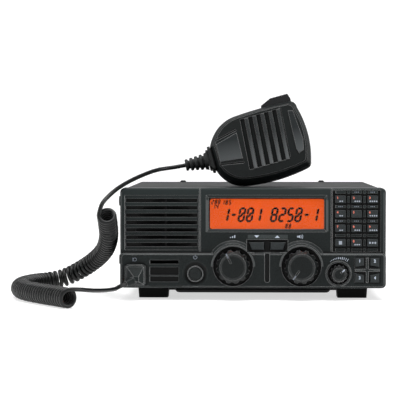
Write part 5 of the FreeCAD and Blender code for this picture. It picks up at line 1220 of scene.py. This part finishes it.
@dataclass
class DisplayReading:
    """Dark segments on the amber glass: channel and frequency numbers, and small signs. Millimetres."""

    glass_y: float = -123.0
    thick: float = 0.12
    amber_x: tuple[float, float] = (-38.9, 64.9)
    amber_z: tuple[float, float] = (64.3, 91.8)
    corner: float = 2.2
    mask_inset: float = 0.4
    mask_gap: float = 0.08
    mask_thick: float = 0.06
    line_z: float = 77.4
    first_x: float = -24.6
    pitch: float = 7.35
    height: float = 11.6
    width: float = 4.5
    stroke: float = 2.0
    small_stroke: float = 0.9
    small: float = 0.32
    small_signs: tuple = (
        ("208", -36.4, 2.9, 89.0), ("14", -35.2, 2.9, 84.8), ("105", -26.8, 3.1, 88.6), ("00", 30.6, 3.0, 67.2),
    )
    slant: float = 0.19
    point: float = 0.36
    joint: float = 0.55
    slash_lean: float = 28.0
    reading: str = "1-001 8250-1"
    strokes: dict[str, str] = field(default_factory=lambda: {
        "0": "abcdefz", "1": "bc", "2": "abged", "3": "abgcd", "4": "fgbc", "5": "afgcd", "6": "afgedc",
        "7": "abc", "8": "abcdefg", "9": "abcdfg", "-": "g", " ": "",
    })

    def build(self) -> None:
        """Lay the black mask, the reading and the small signs on the glass."""
        self.mask()
        bars = []
        for index, sign in enumerate(self.reading):
            bars += self.character(sign, self.first_x + index * self.pitch, self.line_z, 1.0)
        for signs, first, spacing, z in self.small_signs:
            for index, sign in enumerate(signs):
                bars += self.character(sign, first + index * spacing, z, self.small)
        piece = BENCH.join(bars, "display_reading")
        PAINT.dress(piece, SEGMENTS)
        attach(piece, "radio")
        LOG.info("display_reading: %d segments", len(bars))

    def mask(self) -> None:
        """The black mask printed round the lit part of the glass, with rounded inner corners."""
        low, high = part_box("display_glass")
        y = (self.glass_y - self.mask_gap) * MM
        BENCH.clear()
        bpy.ops.mesh.primitive_plane_add(size=1, location=(0, y, 0), rotation=(math.pi / 2, 0, 0))
        mask = bpy.context.object
        mask.name = "display_mask"
        bpy.ops.object.transform_apply(location=True, rotation=True, scale=True)
        for corner in mask.data.vertices:
            corner.co.x = high[0] if corner.co.x > 0 else low[0]
            corner.co.z = high[2] if corner.co.z > 0 else low[2]
        with BENCH.picked(mask, Pick.FACES, lambda face: True):
            bpy.ops.mesh.inset(thickness=self.mask_inset * MM)
        middle = Vector((sum(self.amber_x) / 2, 0, sum(self.amber_z) / 2)) * MM
        inner = min(mask.data.polygons, key=lambda face: (face.center - middle).length)
        for index in inner.vertices:
            corner = mask.data.vertices[index].co
            corner.x = self.amber_x[corner.x > middle.x] * MM
            corner.z = self.amber_z[corner.z > middle.z] * MM
        hole = inner.index
        with BENCH.picked(mask, Pick.FACES, lambda face: face.index == hole):
            bpy.ops.mesh.delete(type="ONLY_FACE")
        with BENCH.picked(mask, Pick.CORNERS, lambda at: abs(at.x - low[0]) > 1e-5 and abs(at.x - high[0]) > 1e-5):
            bpy.ops.mesh.bevel(offset=self.corner * MM, segments=4, affect="VERTICES")
        BENCH.thicken(mask, self.mask_thick * MM)
        PAINT.dress(mask, MASK)
        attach(mask, "radio")
        LOG.info("display_mask: %d faces", len(mask.data.polygons))

    def character(self, sign: str, x: float, z: float, scale: float) -> list[Piece]:
        """The segments of one character.

        Args:
            sign: The character.
            x: Its middle along X.
            z: Its middle along Z.
            scale: Its size against the large characters.

        Returns:
            Its segments as separate pieces.
        """
        half_w, half_h = self.width * scale / 2, self.height * scale / 2
        places = {
            "a": (0, half_h, True, 1), "g": (0, 0, True, 1), "d": (0, -half_h, True, 1),
            "f": (-half_w, half_h / 2, False, 1), "b": (half_w, half_h / 2, False, 1),
            "e": (-half_w, -half_h / 2, False, 1), "c": (half_w, -half_h / 2, False, 1),
            "z": (0, 0, False, 0.9),
        }
        pieces = []
        for letter in self.strokes[sign]:
            across, up, level, share = places[letter]
            reach = (self.width if level else half_h / scale) * scale * share - self.joint * scale
            stroke = self.stroke if scale == 1.0 else self.small_stroke
            lean = math.radians(self.slash_lean) if letter == "z" else 0.0
            pieces.append(self.segment(x + across + up * self.slant, z + up, reach, stroke, level, lean))
        return pieces

    def segment(self, x: float, z: float, reach: float, wide: float, level: bool, lean: float) -> Piece:
        """One segment with pointed ends.

        Args:
            x: Its middle along X.
            z: Its middle along Z.
            reach: Its length.
            wide: Its width.
            level: True if it lies level.
            lean: How far it is turned clockwise, in radians.

        Returns:
            The segment.
        """
        long_side, short_side = (reach, wide) if level else (wide, reach)
        low = mm(-long_side / 2, -self.thick, -short_side / 2)
        bar = BENCH.block("segment", low, -low)
        BENCH.bevel(bar, wide * self.point * MM)
        skew = Matrix.Identity(4)
        skew[0][2] = self.slant
        turn = Matrix.Rotation(lean, 4, "Y")
        bar.data.transform(Matrix.Translation(mm(x, self.glass_y + self.thick / 2, z)) @ skew @ turn)
        return bar


# Printed marks


@dataclass
class PanelMarks:
    """Pale signs printed on the front panel. Millimetres."""

    thick: float = 0.10
    sign_z: float = 57.7
    step_x: tuple[float, float, float] = (-20.2, -18.3, -16.4)
    step_top: tuple[float, float, float] = (-0.4, 0.4, 1.2)
    step_foot: float = -1.2
    step_line: float = 0.9
    volume_x: float = 41.7
    horn_size: tuple[float, float] = (2.8, 2.4)
    magnet_size: tuple[float, float] = (1.5, 1.4)
    wave_radii: tuple[float, float] = (2.4, 3.6)
    wave_turns: tuple[float, float] = (55.0, 125.0)
    wave_line: float = 0.4
    arrow_z: float = 57.7
    arrow_left_x: float = 3.6
    arrow_right_x: float = 22.2
    arrow_size: tuple[float, float] = (4.4, 2.2)
    ring_points: int = 14
    power_x: float = -52.1
    power_z: float = 39.0
    power_ring: float = 1.6
    power_turns: tuple[float, float] = (35.0, 325.0)
    power_bar: tuple[float, float] = (0.4, 2.4)
    power_line: float = 0.5
    jack_x: float = -107.0
    jack_z: float = 36.9
    jack_head: float = 1.5
    jack_bar: float = 1.7
    jack_line: float = 0.45
    strip_x: tuple[float, float] = (-4.6, 31.8)
    strip_z: tuple[float, float] = (55.9, 59.4)
    label_x: float = 93.9
    label_y: float = -125.62
    label_z: float = 98.1
    label_spread: float = 14.55
    label_pitch: float = 13.1
    dash_pitch: float = 1.5
    dash_half: float = 0.45
    dash_line: float = 0.8
    tone_x: float = 77.6
    tone_z: float = 24.4
    scale_start: float = -34.0
    scale_pitch: float = 6.8
    scale_inner: float = 13.2
    scale_outer: float = 13.5
    scale_growth: float = 0.26
    scale_lines: tuple[float, ...] = (0.7,) * 8 + (0.5,) * 3

    def build(self) -> None:
        """Print the signs."""
        self.label_strip()
        bright = [*self.arrows(), *self.tone_scale(), *self.channel_sign(), *self.volume_sign()]
        faint = [*self.jack_sign(), *self.power_sign(), *self.label_dashes()]
        for name, marks, finish in (("panel_marks", bright, PRINT), ("faint_marks", faint, DIM_PRINT)):
            piece = BENCH.join(marks, name)
            PAINT.dress(piece, finish)
            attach(piece, "radio")
            LOG.info("%s: %d signs", name, len(marks))

    def mark(self, name: str, points: Sequence[Vector], wide: float) -> Piece:
        """A printed line through points in metres, with its width in millimetres."""
        return BENCH.stroke(name, points, wide * MM, self.thick * MM)

    def label_strip(self) -> None:
        """The paler strip behind the two arrows."""
        low = mm(self.strip_x[0], FACE_Y - self.thick / 4, self.strip_z[0])
        high = mm(self.strip_x[1], FACE_Y + self.thick / 4, self.strip_z[1])
        strip = BENCH.block("arrow_strip", low, high)
        BENCH.bevel(strip, 0.5 * MM, 2)
        PAINT.dress(strip, STRIP)
        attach(strip, "radio")

    def label_dashes(self) -> list[Piece]:
        """Faint dashes on the bars over the keys, where a keypad has its second set of signs."""
        dashes = []
        for row, columns in enumerate(((1, 2), (0, 1, 2), (0, 1, 2))):
            z = self.label_z - row * self.label_pitch
            for column in columns:
                for step in (-1, 0, 1):
                    x = self.label_x + (column - 1) * self.label_spread + step * self.dash_pitch
                    ends = [mm(x, self.label_y, z + up) for up in (-self.dash_half, self.dash_half)]
                    dashes.append(self.mark("dash", ends, self.dash_line))
        return dashes

    def triangle(self, x: float, z: float, wide: float, tall: float, y: float, turn: float) -> Piece:
        """A solid triangle on a front surface.

        Args:
            x: Its middle along X.
            z: Its middle along Z.
            wide: How wide its foot is.
            tall: How tall it is.
            y: The surface's place along Y.
            turn: How far it is turned clockwise from pointing up, in degrees.

        Returns:
            The triangle.
        """
        BENCH.clear()
        bpy.ops.mesh.primitive_cylinder_add(
            vertices=3, radius=wide / math.sqrt(3) * MM, depth=self.thick * MM, rotation=(math.pi / 2, 0, 0)
        )
        piece = bpy.context.object
        bpy.ops.object.transform_apply(location=True, rotation=True, scale=True)
        top = max(corner.co.z for corner in piece.data.vertices)
        low = min(corner.co.z for corner in piece.data.vertices)
        squeeze = Matrix.Diagonal((1, 1, tall * MM / (top - low), 1))
        piece.data.transform(Matrix.Translation((0, 0, -(top + low) / 2)))
        piece.data.transform(Matrix.Rotation(math.radians(turn), 4, "Y") @ squeeze)
        piece.data.transform(Matrix.Translation(mm(x, y, z)))
        return piece

    def arrows(self) -> list[Piece]:
        """Down and up arrows above the arrow keys."""
        return [
            self.triangle(self.arrow_left_x, self.arrow_z, *self.arrow_size, FACE_Y, 180),
            self.triangle(self.arrow_right_x, self.arrow_z, *self.arrow_size, FACE_Y, 0),
        ]

    def power_sign(self) -> list[Piece]:
        """An open ring with a bar in its gap."""
        ring = arc(self.power_x, self.power_z, BAND_Y, self.power_ring, *self.power_turns, self.ring_points)
        bar = [mm(self.power_x, BAND_Y, self.power_z + z) for z in self.power_bar]
        return [self.mark("ring", ring, self.power_line), self.mark("bar", bar, self.power_line)]

    def jack_sign(self) -> list[Piece]:
        """A small round head on a bar, for the microphone."""
        head = arc(self.jack_x, self.jack_z, BAND_Y, self.jack_head, 0, 360, self.ring_points)
        x = self.jack_x - self.jack_bar
        bar = [mm(x, BAND_Y, self.jack_z + z) for z in (-self.jack_bar, self.jack_bar)]
        return [self.mark("head", head, self.jack_line), self.mark("bar", bar, self.jack_line)]

    def channel_sign(self) -> list[Piece]:
        """Three small steps for the channel dial."""
        signs = []
        for x, top in zip(self.step_x, self.step_top):
            ends = [mm(x, FACE_Y, self.sign_z + z) for z in (self.step_foot, top)]
            signs.append(self.mark("step", ends, self.step_line))
        return signs

    def volume_sign(self) -> list[Piece]:
        """A small loudspeaker: a block, a horn and two waves."""
        x, z = self.volume_x, self.sign_z
        horn = self.triangle(x, z, *self.horn_size, FACE_Y, -90)
        wide, tall = self.magnet_size
        block = BENCH.slab("magnet", mm(x - wide / 2, FACE_Y, z), mm(wide, self.thick, tall))
        lines = [arc(x, z, FACE_Y, radius, *self.wave_turns, 6) for radius in self.wave_radii]
        return [block, horn, *(self.mark("wave", line, self.wave_line) for line in lines)]

    def tone_scale(self) -> list[Piece]:
        """A wedge that grows clockwise over the tone knob, cut into steps."""
        signs = []
        for index, line in enumerate(self.scale_lines):
            turn = self.scale_start + index * self.scale_pitch
            radii = (self.scale_inner, self.scale_outer + self.scale_growth * index)
            ends = [on_circle(self.tone_x, self.tone_z, BAND_Y, radius, turn) for radius in radii]
            signs.append(self.mark("step", ends, line))
        return signs


@dataclass
class KeyLegends:
    """Numerals and small signs on the keys and between them. Millimetres."""

    pad_x: float = 93.9
    pad_z: float = 71.9
    pitch_x: float = 14.55
    pitch_z: float = 13.1
    cap_y: float = -126.6
    soft_y: float = -130.2
    thick: float = 0.08
    soft_size: float = 3.7
    digit_size: float = 2.8
    digit_shift: tuple[float, float] = (-2.6, 1.35)
    star_size: tuple[float, float] = (2.8, 3.2)
    hash_size: tuple[float, float] = (1.5, 1.7)
    hash_pitch: float = 2.4
    dash_size: tuple[float, float] = (1.3, 1.2)
    dash_pitch: float = 1.9
    dash_shift: tuple[float, float] = (0.6, -1.7)
    clip: float = 0.3
    rows: tuple = (
        ("one", "two", "three"), ("four", "five", "six"), ("seven", "eight", "nine"), ("star", "zero", "hash"),
    )
    soft_keys: tuple = (
        ("soft_upper_left", 96.6, 35.8), ("soft_upper_right", 110.2, 35.8), ("soft_lower_left", 96.6, 20.6),
        ("soft_lower_right", 110.4, 20.6),
    )
    numbers: dict[str, str] = field(default_factory=lambda: {
        "one": "1", "two": "2", "three": "3", "four": "4", "five": "5", "six": "6", "seven": "7", "eight": "8",
        "nine": "9", "zero": "0",
    })

    def build(self) -> None:
        """Put the legends on every key."""
        for row, names in enumerate(self.rows):
            for column, name in enumerate(names):
                x = self.pad_x + (column - 1) * self.pitch_x
                z = self.pad_z + (1.5 - row) * self.pitch_z
                self.numeral(name, x, z)
                self.signs(name, x, z, row * 3 + column)
        for number, (name, x, z) in enumerate(self.soft_keys, 1):
            at = mm(x, self.soft_y, z)
            piece = BENCH.numeral(f"legend_{name}", str(number), self.soft_size * MM, at, self.thick * MM)
            self.finish(piece, PRINT, f"key_{name}_body")
        LOG.info("key legends: numerals and signs")

    def numeral(self, name: str, x: float, z: float) -> None:
        """The numeral at a key's upper left."""
        if name not in self.numbers:
            return
        at = mm(x + self.digit_shift[0], self.cap_y, z + self.digit_shift[1])
        piece = BENCH.numeral(f"numeral_{name}", self.numbers[name], self.digit_size * MM, at, self.thick * MM)
        self.finish(piece, DIGITS, f"key_{name}_body")

    def signs(self, name: str, x: float, z: float, index: int) -> None:
        """Plain pale dashes low on a key, or a sign in its middle."""
        bars = []
        if name == "star":
            wide, tall = self.star_size
            bars.append(BENCH.slab("sign", mm(x, self.cap_y, z), mm(wide, self.thick, tall)))
        elif name == "hash":
            for step in (-1, 0, 1):
                bars.append(self.dash(x + step * self.hash_pitch, z, *self.hash_size))
        elif name != "five":
            count = 2 + index % 3
            for step in range(count):
                across = self.dash_shift[0] + (step - (count - 1) / 2) * self.dash_pitch
                bars.append(self.dash(x + across, z + self.dash_shift[1], *self.dash_size))
        if bars:
            self.finish(BENCH.join(bars, f"signs_{name}"), KEY_PRINT, f"key_{name}_body")

    def dash(self, x: float, z: float, wide: float, tall: float) -> Piece:
        """A small pale dash with clipped corners."""
        bar = BENCH.slab("dash", mm(x, self.cap_y, z), mm(wide, self.thick, tall))
        BENCH.bevel(bar, self.clip * MM)
        return bar

    def finish(self, piece: Piece, finish: Finish, body: str) -> None:
        """Dress a legend and let it ride with its key."""
        PAINT.dress(piece, finish)
        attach(piece, body)


@dataclass
class IndexLines:
    """White lines set in the shoulders of the three knobs. Millimetres."""

    face_y: float = -142.5
    lift: float = 0.04
    half_width: float = 0.38
    thick: float = 0.25
    large: tuple = ((9.0, 0.5), (10.4, 0.5), (11.2, 0.02), (12.0, 0.02), (13.5, 2.4))
    small: tuple = ((3.4, 0.5), (4.4, 0.5), (5.2, 0.02), (6.2, 0.02), (6.6, 3.2))
    knobs: tuple = (
        ("channel_knob", "channel_dial", -17.9, 30.8, -27.0, "large"),
        ("volume_knob", "volume_dial", 43.9, 30.8, -145.5, "large"),
        ("tone_knob", "tone_dial", 77.6, 24.4, 48.0, "small"),
    )

    def build(self) -> None:
        """Lay a line along each knob's shoulder."""
        for name, body, x, z, turn, kind in self.knobs:
            profile = self.large if kind == "large" else self.small
            line = self.strip(f"{name}_line", profile)
            line.data.transform(Matrix.Translation(mm(x, 0, z)) @ Matrix.Rotation(math.radians(turn), 4, "Y"))
            PAINT.dress(line, PRINT if kind == "small" else DIM_PRINT)
            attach(line, body)
        LOG.info("index lines: %d", len(self.knobs))

    def strip(self, name: str, profile: Sequence[tuple[float, float]]) -> Piece:
        """A narrow strip that follows a knob's profile upwards from its axis.

        Args:
            name: The strip's name.
            profile: Distance from the axis and depth behind the knob's front at each bend.

        Returns:
            The strip, with thickness.
        """
        points = [mm(0, self.face_y + depth - self.lift, out) for out, depth in profile]
        BENCH.clear()
        bpy.ops.mesh.primitive_plane_add(size=1)
        strip = bpy.context.object
        strip.name = name
        mesh = strip.data
        half = self.half_width * MM
        for corner in mesh.vertices:
            corner.co = points[0] + Vector((math.copysign(half, corner.co.x), 0, 0)) + (
                (points[1] - points[0]) if corner.co.y > 0 else Vector()
            )
        for before, after in zip(points[1:], points[2:]):
            with BENCH.picked(strip, Pick.EDGES, lambda a, b, at=before: max((a - at).length, (b - at).length) < MM):
                bpy.ops.mesh.extrude_region_move(TRANSFORM_OT_translate={"value": after - before})
        BENCH.thicken(strip, self.thick * MM)
        return strip


@dataclass(frozen=True)
class ReliefCollar:
    """The soft collar that fills the step between the strain relief and the microphone's shell. Millimetres."""

    low: tuple[float, float, float] = (-48.8, -6.0, -15.0)
    high: tuple[float, float, float] = (-43.5, 6.0, 4.0)
    corner: float = 1.6

    def build(self) -> None:
        """Shape the collar in the microphone's own frame and lay it in its place."""
        collar = BENCH.block("relief_collar", mm(*self.low), mm(*self.high))
        BENCH.bevel(collar, self.corner * MM, 3, lambda a, b: True)
        collar.matrix_world = Matrix.Translation(mm(*MIC_MIDDLE)) @ mic_turn()
        bpy.ops.object.transform_apply(location=True, rotation=True, scale=False)
        PAINT.dress(collar, RELIEF)
        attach(collar, "handset")


def main() -> None:
    """Build the studio, the cord and the looks of every sub-assembly."""
    logging.basicConfig(level=logging.INFO, format="%(message)s")
    Studio().build()
    MicCord().build()
    FramePaint().build()
    DisplayReading().build()
    PanelMarks().build()
    KeyLegends().build()
    IndexLines().build()
    ReliefCollar().build()


if __name__ == "__main__":
    main()
